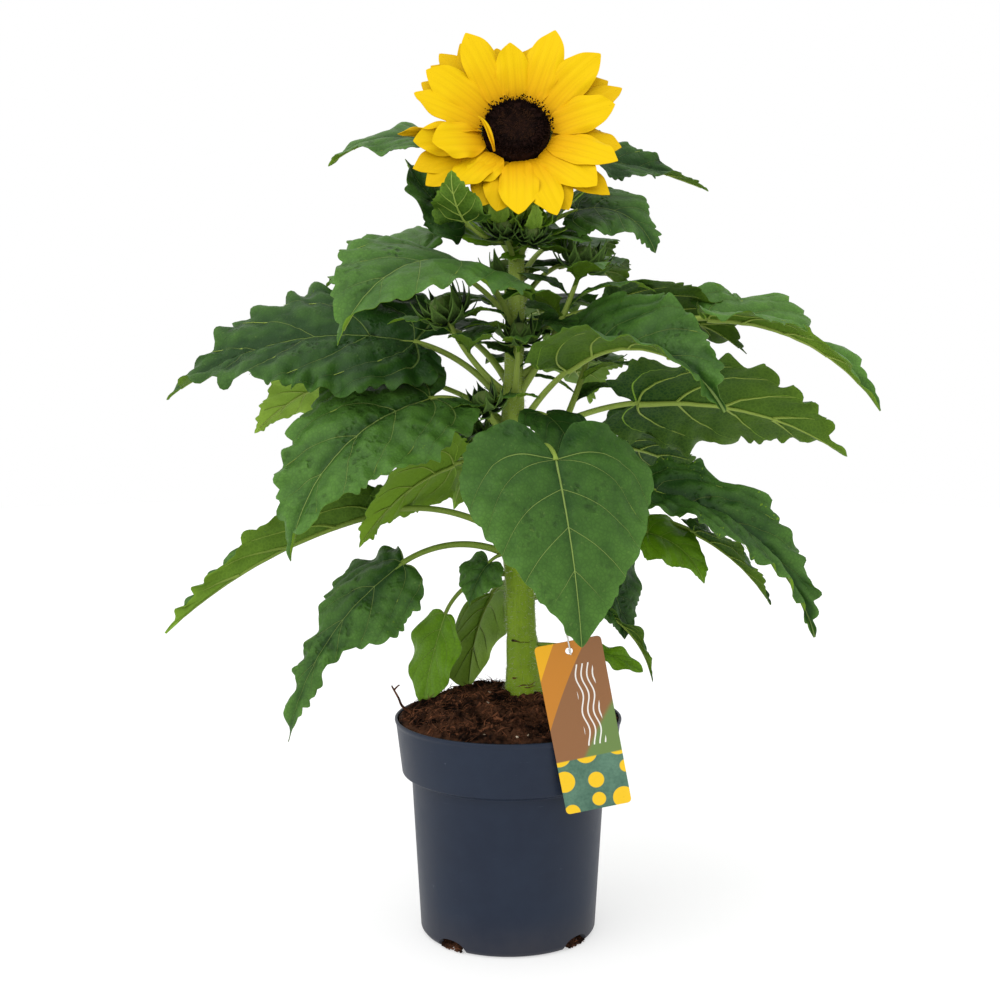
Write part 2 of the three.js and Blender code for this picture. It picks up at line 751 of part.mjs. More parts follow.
function labelGeometry() {
  const { width, height, corner, hole, holeDrop } = LABEL;
  const half = width / 2;
  const top = holeDrop;
  const bottom = holeDrop - height;
  const outline = new THREE.Shape();
  outline.moveTo(-half + corner, bottom);
  outline.lineTo(half - corner, bottom);
  outline.absarc(half - corner, bottom + corner, corner, -Math.PI / 2, 0);
  outline.absarc(half - corner, top - corner, corner, 0, Math.PI / 2);
  outline.absarc(-half + corner, top - corner, corner, Math.PI / 2, Math.PI);
  outline.absarc(-half + corner, bottom + corner, corner, Math.PI, 1.5 * Math.PI);
  const punched = new THREE.Path();
  punched.absarc(0, 0, hole, 0, 2 * Math.PI, true);
  outline.holes.push(punched);
  const sheet = { depth: LABEL.thick, bevelEnabled: false, curveSegments: 2 };
  return new THREE.ExtrudeGeometry(outline, sheet);
}

function labelSolid() {
  const geometry = labelGeometry()
    .translate(0, 0, -LABEL.thick / 2)
    .rotateX(Math.PI / 2)
    .rotateX(radians(LABEL_SET_BACK))
    .rotateY(radians(-LABEL_LEAN))
    .translate(LABEL_HOLE_AT.x, LABEL_HOLE_AT.y, LABEL_HOLE_AT.z);
  return toSolid(geometry);
}

// The label's tie: a thin closed loop through the label's hole and over the front leaf's stalk.
const TIE = { radius: 0.6, leaf: "leaf_front", share: 0.64, half: 5.4, top: 3.2, through: 3, slack: 1 };
const TIE_STATIONS = 24;

function tieSolid() {
  const leaf = LEAVES.find(({ name }) => name === TIE.leaf);
  const stalk = between(leafPath(leaf, stemPointAt(leaf.at)).stalk, TIE.share).point;
  const low = LABEL_HOLE_AT.clone().add(vec(0, 0, LABEL.hole - TIE.radius - TIE.slack));
  const route = new THREE.CatmullRomCurve3(
    [
      low,
      low.clone().add(vec(0, -TIE.through, TIE.through)),
      low.clone().lerp(stalk, 0.5).add(vec(-TIE.half / 2, 0, 0)),
      stalk.clone().add(vec(-TIE.half, 0, 0)),
      stalk.clone().add(vec(0, 0, TIE.top)),
      stalk.clone().add(vec(TIE.half, 0, 0)),
      low.clone().lerp(stalk, 0.5).add(vec(TIE.half / 2, 0, 0)),
      low.clone().add(vec(0, TIE.through, TIE.through)),
    ],
    true,
  );
  const crosswise = vec(1, 1, 0).normalize();
  const stations = Array.from({ length: TIE_STATIONS }, (_, i) => {
    const along = route.getTangent(i / TIE_STATIONS);
    const side = crosswise.clone().addScaledVector(along, -along.dot(crosswise)).normalize();
    return { point: route.getPoint(i / TIE_STATIONS), along, side, up: along.clone().cross(side) };
  });
  return bar(stations, Array(TIE_STATIONS).fill(TIE.radius), 4, true);
}

// Flower head, in its own frame: +Z is the way it faces, and the petals spread from about z 0.

const HEAD_FOOT = -5;
const DISC_RISE = 10;
const CALYX_DEPTH = 26;
const NECK_TOP_RADIUS = 7;
const CALYX_CUP_RADIUS = 12;

const RAY_OUTLINE = [
  [0, 0.2],
  [0.05, 0.45],
  [0.22, 0.74],
  [0.47, 0.98],
  [0.7, 0.94],
  [0.9, 0.5],
  [1, 0],
];
const RAY_LAYERS = [
  { count: 14, level: 30, droop: 10, height: -1, reach: 0.96, turn: 4 },
  { count: 14, level: 20, droop: 0, height: -3.4, reach: 1.02, turn: 16 },
];
const RAY_RING = 1.6;
const RAY_RING_RADIUS = DISC_RADIUS + 0.8 + RAY_RING;
const RAY_COLLAR_RADIUS = RAY_RING_RADIUS + 8;
const RAY_WIDTH = 21;
const RAY_UNEVEN = { length: 0.07, droop: 6, heading: 4 };

function raySolids() {
  const rays = [];
  for (const layer of RAY_LAYERS) {
    for (let i = 0; i < layer.count; i++) {
      const uneven = Math.sin(i * 2.4 + layer.turn);
      const length = (FLOWER_RADIUS - RAY_RING_RADIUS) * layer.reach;
      const ray = {
        ...LEAF_DEFAULTS,
        heading: (360 / layer.count) * i + layer.turn + RAY_UNEVEN.heading * Math.sin(i * 1.7),
        petiole: 1,
        rise: layer.level,
        level: layer.level,
        droop: layer.droop + RAY_UNEVEN.droop * uneven,
        blade: length * (1 + RAY_UNEVEN.length * uneven),
        width: RAY_WIDTH,
        cup: 26,
        ruffle: 0.5,
      };
      const h = radians(ray.heading);
      const root = vec(RAY_RING_RADIUS * Math.cos(h), RAY_RING_RADIUS * Math.sin(h), layer.height);
      const path = leafPath(ray, root);
      rays.push(bladeSolid(ray, path.rib, { rows: 4, columns: 1, teeth: 0, outline: RAY_OUTLINE }));
    }
  }
  const ring = lathe(
    [
      [RAY_RING_RADIUS - RAY_RING, HEAD_FOOT],
      [RAY_RING_RADIUS + RAY_RING, HEAD_FOOT],
      [RAY_COLLAR_RADIUS, 0.6],
      [RAY_COLLAR_RADIUS, 1.8],
      [RAY_RING_RADIUS - RAY_RING, 0.5],
      [RAY_RING_RADIUS - RAY_RING, HEAD_FOOT],
    ],
    24,
  );
  return join([ring, ...rays]);
}

function discSolid() {
  return lathe(
    [
      [0, HEAD_FOOT],
      [DISC_RADIUS, HEAD_FOOT],
      [DISC_RADIUS, DISC_RISE * 0.4],
      [DISC_RADIUS * 0.93, DISC_RISE * 0.75],
      [DISC_RADIUS * 0.72, DISC_RISE],
      [DISC_RADIUS * 0.4, DISC_RISE],
      [0, DISC_RISE * 0.85],
    ],
    18,
  );
}

const CALYX_RINGS = [
  { count: 5, turn: 0, radius: 8, height: -20, level: -30, droop: -30, blade: 38, width: 14 },
  { count: 5, turn: 50, radius: 14, height: -13, level: -25, droop: -8, blade: 34, width: 15 },
];

function calyxSolid() {
  const top = HEAD_FOOT - GAP;
  const cup = lathe(
    [
      [0, -CALYX_DEPTH],
      [NECK_TOP_RADIUS, -CALYX_DEPTH],
      [CALYX_CUP_RADIUS, -CALYX_DEPTH + 8],
      [RAY_RING_RADIUS, top - 5],
      [RAY_RING_RADIUS + 2, top],
      [0, top],
    ],
    20,
  );
  const bracts = CALYX_RINGS.flatMap((ring) =>
    Array.from({ length: ring.count }, (_, i) => {
      const bract = {
        ...LEAF_DEFAULTS,
        heading: (360 / ring.count) * i + ring.turn,
        petiole: 1,
        rise: ring.level,
        level: ring.level,
        droop: ring.droop,
        blade: ring.blade,
        width: ring.width,
        ruffle: 0,
      };
      const h = radians(bract.heading);
      const root = vec(ring.radius * Math.cos(h), ring.radius * Math.sin(h), ring.height);
      const { rib } = leafPath(bract, root);
      return bladeSolid(bract, rib, { rows: 4, columns: 1, teeth: 0, outline: RAY_OUTLINE });
    }),
  );
  return join([cup, ...bracts]);
}

function flowerPlace() {
  const neck = stemStations(STEM_COUNT).at(-1);
  const facing = neck.along.clone();
  const right = vec(1, 0, 0);
  return new THREE.Matrix4()
    .makeBasis(right, facing.clone().cross(right), facing)
    .setPosition(neck.point.clone().addScaledVector(facing, CALYX_DEPTH + GAP));
}

// Assembly

const plant = new THREE.Group();

function addNode(name, solid, look) {
  const material = new THREE.MeshStandardMaterial({ ...COLOURS[look], metalness: 0 });
  const mesh = new THREE.Mesh(toGeometry(solid), material);
  mesh.name = name;
  plant.add(mesh);
}

const placed = [];

function touches(a, b) {
  return [0, 1, 2].every((axis) => a.min[axis] < b.max[axis] && b.min[axis] < a.max[axis]);
}

const moved = (solid, matrix) => toSolid(toGeometry(solid).applyMatrix4(matrix));

// A solid with the room that its neighbours keep clear of: itself and a copy nudged each way.
function roomAround(solid) {
  const nudges = [1, -1].flatMap((way) => [vec(way, 0, 0), vec(0, way, 0), vec(0, 0, way)]);
  const copies = nudges.map((nudge) => {
    const { x, y, z } = nudge.multiplyScalar(NUDGE);
    return moved(solid, new THREE.Matrix4().makeTranslation(x, y, z));
  });
  return join([solid, ...copies]);
}

// Cuts a solid clear of everything already placed, and remembers the room that it takes itself.
function settle(name, solid, look, room = roomAround(solid)) {
  const box = solid.boundingBox();
  const inTheWay = placed.filter((other) => touches(box, other.box));
  const cut = inTheWay.reduce((rest, other) => rest.subtract(other.room), solid);
  placed.push({ room, box: room.boundingBox() });
  addNode(name, largestBody(cut), look);
}

const facing = flowerPlace();

addNode("pot", potSolid(), "pot");
addNode("soil", soilSolid(), "soil");
settle("stem", stemSolid(), "stem", stemSolid(GAP));
settle("flower_disc", moved(discSolid(), facing), "disc");
settle("flower_rays", moved(raySolids(), facing), "petal");
settle("flower_calyx", moved(calyxSolid(), facing), "calyx");
for (const shoot of SHOOTS) settle(shoot.name, shootSolid(shoot), "leaf");
for (const leaf of LEAVES) settle(leaf.name, leafSolid(leaf), leaf.young ? "youngLeaf" : "leaf");
addNode("label", labelSolid(), "label");
addNode("label_tie", tieSolid(), "tie");

export default plant;
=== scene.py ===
# A young sunflower plant in a nursery pot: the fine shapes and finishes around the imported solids.
# The growing rules are the solids' own, in millimetres; finished meshes are in metres. -Y is the front.
import json
import math

import bmesh
import bpy
import numpy as np
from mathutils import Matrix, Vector, noise

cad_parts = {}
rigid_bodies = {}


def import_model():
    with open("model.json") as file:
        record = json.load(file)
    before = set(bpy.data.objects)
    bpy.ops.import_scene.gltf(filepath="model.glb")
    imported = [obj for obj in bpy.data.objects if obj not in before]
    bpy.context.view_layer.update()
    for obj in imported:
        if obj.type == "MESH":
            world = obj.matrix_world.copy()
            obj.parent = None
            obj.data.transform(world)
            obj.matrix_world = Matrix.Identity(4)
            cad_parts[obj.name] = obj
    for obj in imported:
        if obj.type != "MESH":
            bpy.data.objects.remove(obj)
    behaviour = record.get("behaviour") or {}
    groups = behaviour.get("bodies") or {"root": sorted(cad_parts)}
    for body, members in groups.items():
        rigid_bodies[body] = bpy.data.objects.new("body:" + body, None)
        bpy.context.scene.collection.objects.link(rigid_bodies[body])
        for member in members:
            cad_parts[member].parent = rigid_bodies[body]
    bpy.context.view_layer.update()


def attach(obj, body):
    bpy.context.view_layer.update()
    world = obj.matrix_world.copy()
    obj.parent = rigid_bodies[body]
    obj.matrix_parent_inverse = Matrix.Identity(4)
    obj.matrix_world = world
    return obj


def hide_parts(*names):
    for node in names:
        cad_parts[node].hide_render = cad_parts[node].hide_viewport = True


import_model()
MM = 0.001

# Driving sizes, as in the solids
POT_HEIGHT = 163
POT_RIM_RADIUS = 85
POT_BAND_HEIGHT = 41
POT_BAND_FOOT_RADIUS = 79.5
POT_NECK_RADIUS = 72.5
POT_FOOT_RADIUS = 66
POT_WALL = 2
POT_LIP = 2
POT_NOTCH = dict(width=26, height=8, depth=9, first=50, count=4)
SOIL_CROWN_RISE = 20
SOIL_EDGE_RADIUS = POT_RIM_RADIUS - POT_WALL - 1
STEM_FOOT = 180.3
STEM_BASE_RADIUS = 12.5
STEM_TIP_RADIUS = 5.2
STEM_TAPER = 0.75
STEM_FLARE = dict(radius=3.5, fade=30)
STEM_POINTS = [
    (12, 0, STEM_FOOT),
    (9, 0, 250),
    (5, 0, 330),
    (3.5, 0, 400),
    (6, 2, 487),
    (5.5, 5, 555),
]
NECK_RADIUS = 26
FLOWER_TILT = 28
CALYX_DEPTH = 26
GOLDEN_ANGLE = 137.5
GAP = 0.3


# Small helpers

def mix(a, b, k):
    return a + (b - a) * k


def smooth_step(low, high, value):
    k = np.clip((value - low) / (high - low), 0, 1)
    return k * k * (3 - 2 * k)


def unit(vectors):
    return vectors / np.maximum(np.linalg.norm(vectors, axis=-1, keepdims=True), 1e-12)


def spline(points, share):
    """A smooth line through the points, at shares from 0 to 1 of its spans."""
    points = np.asarray(points, float)
    spans = len(points) - 1
    at = np.clip(np.asarray(share, float) * spans, 0, spans - 1e-9)
    i = np.floor(at).astype(int)
    k = (at - i)[..., None]
    a, b, c, d = (points[np.clip(i + n, 0, spans)] for n in (-1, 0, 1, 2))
    square = 2 * a - 5 * b + 4 * c - d
    cube = 3 * b - a - 3 * c + d
    return 0.5 * (2 * b + (c - a) * k + square * k**2 + cube * k**3)


def rough(points, scale, seed=0.0):
    """Smooth noise from -1 to 1 at each point, in bumps about one scale apart."""
    flat = np.asarray(points, float).reshape(-1, 3) / scale + seed
    values = [noise.noise(Vector(p)) for p in flat.tolist()]
    return np.array(values).reshape(np.asarray(points).shape[:-1])


def seed_of(name):
    return sum(ord(letter) * (i + 3) for i, letter in enumerate(name)) % 9973


class Shape:
    """Collects the closed parts of one piece: points in millimetres, faces and the number of each face's
    material. blade holds (along, across, under) at each point, and look four values there: the painted
    light and shade over a blade's pucker, its tone, and how veined and folded it is."""

    def __init__(self):
        self.points = []
        self.faces = []
        self.slots = []
        self.blade = []
        self.look = []
        self.count = 0

    def add(self, points, faces, slot=0, blade=None, look=None):
        points = np.asarray(points, float).reshape(-1, 3)
        self.points.append(points)
        self.blade.append(np.zeros((len(points), 3)) if blade is None else blade)
        self.look.append(np.full((len(points), 4), 0.5) if look is None else look)
        self.faces.extend([tuple(i + self.count for i in face) for face in faces])
        self.slots.extend([slot] * len(faces))
        self.count += len(points)

    def mesh(self, name):
        mesh = bpy.data.meshes.new(name)
        mesh.from_pydata((np.concatenate(self.points) * MM).tolist(), [], self.faces)
        blade = mesh.attributes.new("blade", "FLOAT_VECTOR", "POINT")
        blade.data.foreach_set("vector", np.concatenate(self.blade).astype(np.float32).ravel())
        look = np.concatenate(self.look).astype(np.float32)
        for column, label in enumerate(("relief_shading", "tone", "veined", "folded")):
            values = mesh.attributes.new(label, "FLOAT", "POINT")
            values.data.foreach_set("value", np.ascontiguousarray(look[:, column]))
        mesh.polygons.foreach_set("material_index", self.slots)
        return mesh


def grid_faces(rows, columns, first=0, flip=False, around=False):
    """Quads of a grid of points that has columns points in each row. around joins its last column to
    its first."""
    faces = []
    for i in range(rows - 1):
        for j in range(columns if around else columns - 1):
            a, b = first + i * columns + j, first + i * columns + (j + 1) % columns
            quad = (a, b, b + columns, a + columns)
            faces.append(quad[::-1] if flip else quad)
    return faces


def bar_faces(rows, sides):
    """Faces of a bar made of rings of points, closed at both ends."""
    last = (rows - 1) * sides
    ends = [tuple(reversed(range(sides))), tuple(range(last, last + sides))]
    return grid_faces(rows, sides, around=True) + ends


def pointed_faces(rows, sides, flip=False):
    """Faces of rings of points that end in one point each way. Those two points follow the rings."""
    faces = grid_faces(rows, sides, flip=flip, around=True)
    count = rows * sides
    for tip, first, turned_round in ((count, 0, not flip), (count + 1, count - sides, flip)):
        for i in range(sides):
            pair = (first + i, first + (i + 1) % sides)
            faces.append((tip, *(pair[::-1] if turned_round else pair)))
    return faces


def turns_of(count):
    """The angles of a full turn in equal steps."""
    return 2 * math.pi * np.arange(count) / count


def section_ring(side, up, turns):
    """The directions from a bar's stations to the places round it."""
    return side[:, None] * np.cos(turns)[:, None] + up[:, None] * np.sin(turns)[:, None]


def piece(name, mesh, *materials, sharp=None):
    """Links a mesh as an object at the origin, with its materials and smooth shading. Edges that turn by
    more than sharp degrees stay crisp."""
    obj = bpy.data.objects.new(name, mesh)
    bpy.context.scene.collection.objects.link(obj)
    for material in materials:
        mesh.materials.append(material)
    mesh.polygons.foreach_set("use_smooth", [True] * len(mesh.polygons))
    if sharp:
        mesh.set_sharp_from_angle(angle=math.radians(sharp))
    return obj


def hand_over(obj, slot, *nodes):
    """The piece rides with the plant and stands for these solids. slot is not used."""
    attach(obj, "root")
    if nodes:
        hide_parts(*nodes)


def tube(shape, points, radii, sides, slot=0, hint=(0, 0, 1)):
    """A round bar along the points, closed at both ends. Its first side lies square to the hint."""
    points = np.asarray(points, float)
    radii = np.broadcast_to(np.asarray(radii, float), len(points))
    along = unit(np.gradient(points, axis=0))
    side = unit(np.cross(along, np.asarray(hint, float)))
    for i in range(1, len(side)):
        if side[i] @ side[i - 1] < 0:
            side[i] = -side[i]
    ring = section_ring(side, np.cross(along, side), turns_of(sides))
    shape.add(points[:, None] + ring * radii[:, None, None], bar_faces(len(points), sides), slot)


# Node trees

class Wire:
    """An output socket that can be added to, multiplied and compared, each by a node of its own."""

    def __init__(self, tree, socket):
        self.tree = tree
        self.socket = socket

    def math(self, operation, *others, clamp=False):
        made = self.tree.nodes.new("ShaderNodeMath")
        made.operation = operation
        made.use_clamp = clamp
        for socket, value in zip(made.inputs, (self, *others)):
            plug(self.tree, socket, value)
        return Wire(self.tree, made.outputs[0])

    def __add__(self, other):
        return self.math("ADD", other)

    def __sub__(self, other):
        return self.math("SUBTRACT", other)

    def __mul__(self, other):
        return self.math("MULTIPLY", other)

    def __truediv__(self, other):
        return self.math("DIVIDE", other)

    def __pow__(self, other):
        return self.math("POWER", other)

    def __rsub__(self, other):
        return (self * -1) + other

    def clamp(self):
        return self.math("ADD", 0.0, clamp=True)

    def abs(self):
        return self.math("ABSOLUTE")

    def over(self, limit):
        return self.math("GREATER_THAN", limit)

    def step(self, low, high):
        """0 below low, 1 above high and smooth between them. The limits may be wires."""
        return add(self.tree, "ShaderNodeMapRange", {
            "Value": self, "From Min": low, "From Max": high,
        }, interpolation_type="SMOOTHSTEP").out("Result")

    def out(self, name):
        """Another output of the same node."""
        return Wire(self.tree, self.socket.node.outputs[name])

    def parts(self):
        split = add(self.tree, "ShaderNodeSeparateXYZ", {0: self})
        return split.out("X"), split.out("Y"), split.out("Z")


def plug(tree, socket, value):
    """Joins a wire to a socket, or sets the socket to a plain value."""
    if isinstance(value, Wire):
        tree.links.new(value.socket, socket)
    elif socket.type == "RGBA" and len(value) == 3:
        socket.default_value = (*value, 1)
    else:
        socket.default_value = value


def add(tree, kind, inputs=None, **settings):
    """Makes a node, sets it up and returns the wire of its first output."""
    made = tree.nodes.new(kind)
    for key, value in settings.items():
        setattr(made, key, value)
    for key, value in (inputs or {}).items():
        plug(tree, made.inputs[key], value)
    return Wire(tree, made.outputs[0])


def color_mix(tree, factor, first, second):
    """The first colour at factor 0 and the second at 1."""
    made = tree.nodes.new("ShaderNodeMix")
    made.data_type = "RGBA"
    for socket, value in zip((made.inputs[0], made.inputs[6], made.inputs[7]), (factor, first, second)):
        plug(tree, socket, value)
    return Wire(tree, made.outputs[2])


def darker(color, share):
    """The colour with this share of its light."""
    return tuple(share * channel for channel in color)


def new_group(name, kind, inputs, outputs):
    """A node group with named sockets. Inputs are {name: default or type} and outputs {name: type}."""
    tree = bpy.data.node_groups.new(name, kind)
    for label, default in inputs.items():
        socket_type = {float: "Float", int: "Int", str: default}[type(default)]
        socket = tree.interface.new_socket(label, in_out="INPUT", socket_type="NodeSocket" + socket_type)
        if socket_type != default:
            socket.default_value = default
    for label, socket_type in outputs.items():
        tree.interface.new_socket(label, in_out="OUTPUT", socket_type="NodeSocket" + socket_type)
    source = tree.nodes.new("NodeGroupInput")
    sink = tree.nodes.new("NodeGroupOutput")

    def given(label):
        return Wire(tree, source.outputs[label])

    return tree, given, sink


def use_group(tree, group, inputs):
    made = tree.nodes.new("ShaderNodeGroup")
    made.node_tree = group
    for key, value in inputs.items():
        plug(tree, made.inputs[key], value)
    return Wire(tree, made.outputs[0])


def attribute(tree, name, output="Vector"):
    return add(tree, "ShaderNodeAttribute", attribute_name=name).out(output)


def object_place(tree):
    return add(tree, "ShaderNodeTexCoord").out("Object")


def noise_of(tree, place, scale, detail=2.0, roughness=0.5):
    return add(tree, "ShaderNodeTexNoise", {
        "Vector": place, "Scale": scale, "Detail": detail, "Roughness": roughness,
    })


def bump(tree, height, distance, strength=1.0):
    return add(tree, "ShaderNodeBump", {"Height": height, "Distance": distance, "Strength": strength})


def surface(name, build):
    """A material with a Principled BSDF, whose sockets build(tree) returns as {socket: value}."""
    material = bpy.data.materials.new(name)
    material.use_nodes = True
    tree = material.node_tree
    shader = tree.nodes["Principled BSDF"]
    for key, value in build(tree).items():
        plug(tree, shader.inputs[key], value)
    return material


# Shared effects

# How the side veins of a blade run, in shares of its length and half width
VEIN_START = 0.08
VEIN_LEAN = 0.9
VEIN_SWEEP = 0.6
VEIN_BEND = 3.5
VEIN_COUNT = 4.6
VEIN_SPACING = 0.85
FAN_COUNT = 2.6
HALF_BREADTH = 0.42


def vein_place(start, out):
    """How far along the blade a side vein is, where it leaves the midrib at start and is out from it."""
    return start + (VEIN_START + VEIN_LEAN * start) * out + VEIN_SWEEP * out**VEIN_BEND


def mottle_group():
    """Two sizes of noise in one value from 0 to 1, with its middle at 0.5."""
    tree, given, sink = new_group(
        "Mottle", "ShaderNodeTree",
        {"Place": "Vector", "Large": 40.0, "Small": 300.0},
        {"Value": "Float"},
    )
    large = noise_of(tree, given("Place"), given("Large"), 2)
    small = noise_of(tree, given("Place"), given("Small"), 3)
    plug(tree, sink.inputs["Value"], ((large * 0.6 + small * 0.4) - 0.5) * 1.6 + 0.5)
    return tree


def crease_group():
    """A mask of small dimples in patches, as where a blade is puckered between its finest veins. The leaf
    finish sinks them and paints shade into them.
    """
    tree, given, sink = new_group(
        "Creases", "ShaderNodeTree",
        {"Place": "Vector", "Scale": 90.0},
        {"Mask": "Float"},
    )
    stir = add(tree, "ShaderNodeTexNoise", {"Vector": given("Place"), "Scale": given("Scale"), "Detail": 2.0})
    shift = add(tree, "ShaderNodeVectorMath", {0: stir.out("Color"), "Scale": 0.008}, operation="SCALE")
    place = add(tree, "ShaderNodeVectorMath", {0: given("Place"), 1: shift}, operation="ADD")
    dots = add(tree, "ShaderNodeTexVoronoi", {"Vector": place, "Scale": given("Scale") * 2.2})
    large = add(tree, "ShaderNodeTexVoronoi", {"Vector": place, "Scale": given("Scale")})
    patch = noise_of(tree, given("Place"), given("Scale") * 0.4, 1).step(0.46, 0.6)
    dimples = (1.0 - dots.step(0.1, 0.5)) * 0.6 + (1.0 - large.step(0.08, 0.42)) * 0.7
    plug(tree, sink.inputs["Mask"], (dimples * patch).clamp())
    return tree


def vein_group():
    """The veins of a heart-shaped blade. Rib is the midrib, and Side the side veins, which leave it almost
    squarely and sweep forward, with a fan of veins in the lobes; Swell is high between them."""
    tree, given, sink = new_group(
        "Leaf veins", "ShaderNodeTree",
        {"Blade": "Vector", "Width": 0.006},
        {"Side": "Float", "Rib": "Float", "Swell": "Float"},
    )
    x, y, _ = given("Blade").parts()
    out = y.abs()
    ahead = (x - (out * VEIN_START + out**VEIN_BEND * VEIN_SWEEP)) / (out * VEIN_LEAN + 1.0)
    reach = ((x * x + (out * HALF_BREADTH) ** 2.0) ** 0.5) + 0.01
    pinnate = (ahead.math("MAXIMUM", 0.0) ** VEIN_SPACING) * VEIN_COUNT
    fan = (ahead / reach) * FAN_COUNT
    in_front = ahead.over(0.0)
    turn = fan + (pinnate - fan) * in_front
    off = ((turn + 0.5).math("FRACT") - 0.5).abs()
    spacing = (reach / FAN_COUNT) + (1 / VEIN_COUNT - reach / FAN_COUNT) * in_front
    apart = off * spacing
    thin = given("Width") * (1.0 - out * 0.7)
    side = (1.0 - apart.step(thin * 0.4, thin)) * (1.0 - x.step(0.62, 0.8)) * turn.step(-1.6, -1.3)
    rib_width = given("Width") * (1.5 - x * 1.1).math("MAXIMUM", 0.35)
    rib = 1.0 - (out * HALF_BREADTH).step(rib_width * 0.45, rib_width)
    plug(tree, sink.inputs["Side"], side)
    plug(tree, sink.inputs["Rib"], rib)
    plug(tree, sink.inputs["Swell"], (off * 2.0).clamp())
    return tree


MOTTLE = mottle_group()
VEINS = vein_group()
CREASES = crease_group()


def mottle(tree, large, small, place=None):
    return use_group(tree, MOTTLE, {"Place": place or object_place(tree), "Large": large, "Small": small})


# Finishes

def leaf_finish(name, deep, fresh, under, vein, roughness, folds=1.0):
    """A blade: its upper side puckered, with painted light and shade over its pucker and painted shade in a
    fine sunken net and in dimples near the midrib; its underside pale-veined.
    """

    def build(tree):
        blade = attribute(tree, "blade")
        place = object_place(tree)
        x, y, below = blade.parts()
        out = y.abs()
        side = use_group(tree, VEINS, {"Blade": blade, "Width": 0.0048})
        rib, swell = side.out("Rib"), side.out("Swell")
        veined = attribute(tree, "veined", "Fac")
        relief_shading = attribute(tree, "relief_shading", "Fac")
        tone = attribute(tree, "tone", "Fac")
        folded = attribute(tree, "folded", "Fac") * folds
        cells = add(tree, "ShaderNodeTexVoronoi", {
            "Vector": place, "Scale": 330.0,
        }, feature="DISTANCE_TO_EDGE")
        net = 1.0 - cells.step(0.0, 0.2)
        zone = (1.0 - out.step(0.15, 0.9)) * (1.0 - x.step(0.5, 1.0))
        # Dimples near the midrib: the bump sinks them, and the upper side gets painted shade in them.
        fold = use_group(tree, CREASES, {"Place": place, "Scale": 85.0}) * (zone * 0.9 + 0.1) * folded
        shade = mottle(tree, 13.0, 45.0, place)
        # How light the upper side is, from the painted light and shade over its pucker, a random mottle, its
        # tone, which is its own lightness and on many leaves also painted light and shade for where it hangs,
        # and a rise towards its tip and margin.
        light = relief_shading * 0.62 + shade * 0.3 + tone * 0.7 + x * 0.4 + out * 0.12 - 0.69
        upper = color_mix(tree, light.clamp(), deep, fresh)
        # Painted shade: the fine sunken net and the dimples near the midrib are painted darker.
        upper = color_mix(tree, net * 0.2, upper, darker(deep, 0.5))
        upper = color_mix(tree, fold * 0.75, upper, darker(deep, 0.4))
        upper = color_mix(tree, noise_of(tree, place, 420.0, 2).step(0.62, 0.8) * 0.12, upper, vein)
        upper = color_mix(tree, (side * 0.75).math("MAXIMUM", rib) * veined, upper, vein)
        # The underside's green, from its under tone, which on many leaves is painted light and shade for
        # where it hangs, a random mottle and a rise towards its tip.
        back = color_mix(tree, (shade * 0.5 + tone * 0.7 + x * 0.5 - 0.28).clamp(), deep, under)
        back_vein = tuple(min(1.0, 1.7 * c + 0.02) for c in under)
        main = side.math("MAXIMUM", rib)
        lower = color_mix(tree, (main * 0.6 + net * 0.08).clamp(), back, back_vein)
        height = (main * -0.8 + cells * 0.3 + swell * 0.2 - fold * 1.4) * (1.0 - below * 1.5)
        return {
            "Base Color": color_mix(tree, below, upper, lower),
            "Roughness": (shade * 0.14 + below * 0.2 + roughness).clamp(),
            "Specular IOR Level": 0.18,
            "Normal": bump(tree, height, 0.0011, 1.0),
        }

    return surface(name, build)


def stalk_finish(name, pale, green, flecks):
    """Stems and stalks: fine lengthwise ribs, a soft change of green, painted light on them from about 0.3 m
    up, and small dark flecks.
    """

    def build(tree):
        place = object_place(tree)
        long_grain = add(tree, "ShaderNodeMapping", {"Vector": place, "Scale": (1.0, 1.0, 0.08)})
        ribs = noise_of(tree, long_grain, 900.0, 2)
        shade = mottle(tree, 30.0, 260.0, place)
        spots = noise_of(tree, place, 1100.0, 1)
        base = color_mix(tree, shade, green, pale)
        base = color_mix(tree, (ribs - 0.35).clamp() * 0.5, base, green)
        # Painted light: stems and stalks from about 0.3 m up are painted lighter.
        upper = place.parts()[2].step(0.28, 0.42)
        base = color_mix(tree, upper * 0.8, base, (0.30, 0.40, 0.07))
        base = color_mix(tree, spots.step(0.66, 0.74) * flecks, base, (0.05, 0.06, 0.015))
        return {
            "Base Color": base,
            "Roughness": shade * 0.2 + 0.45,
            "Specular IOR Level": 0.2,
            "Normal": bump(tree, ribs + spots * 0.3, 0.0005, 0.6),
        }

    return surface(name, build)


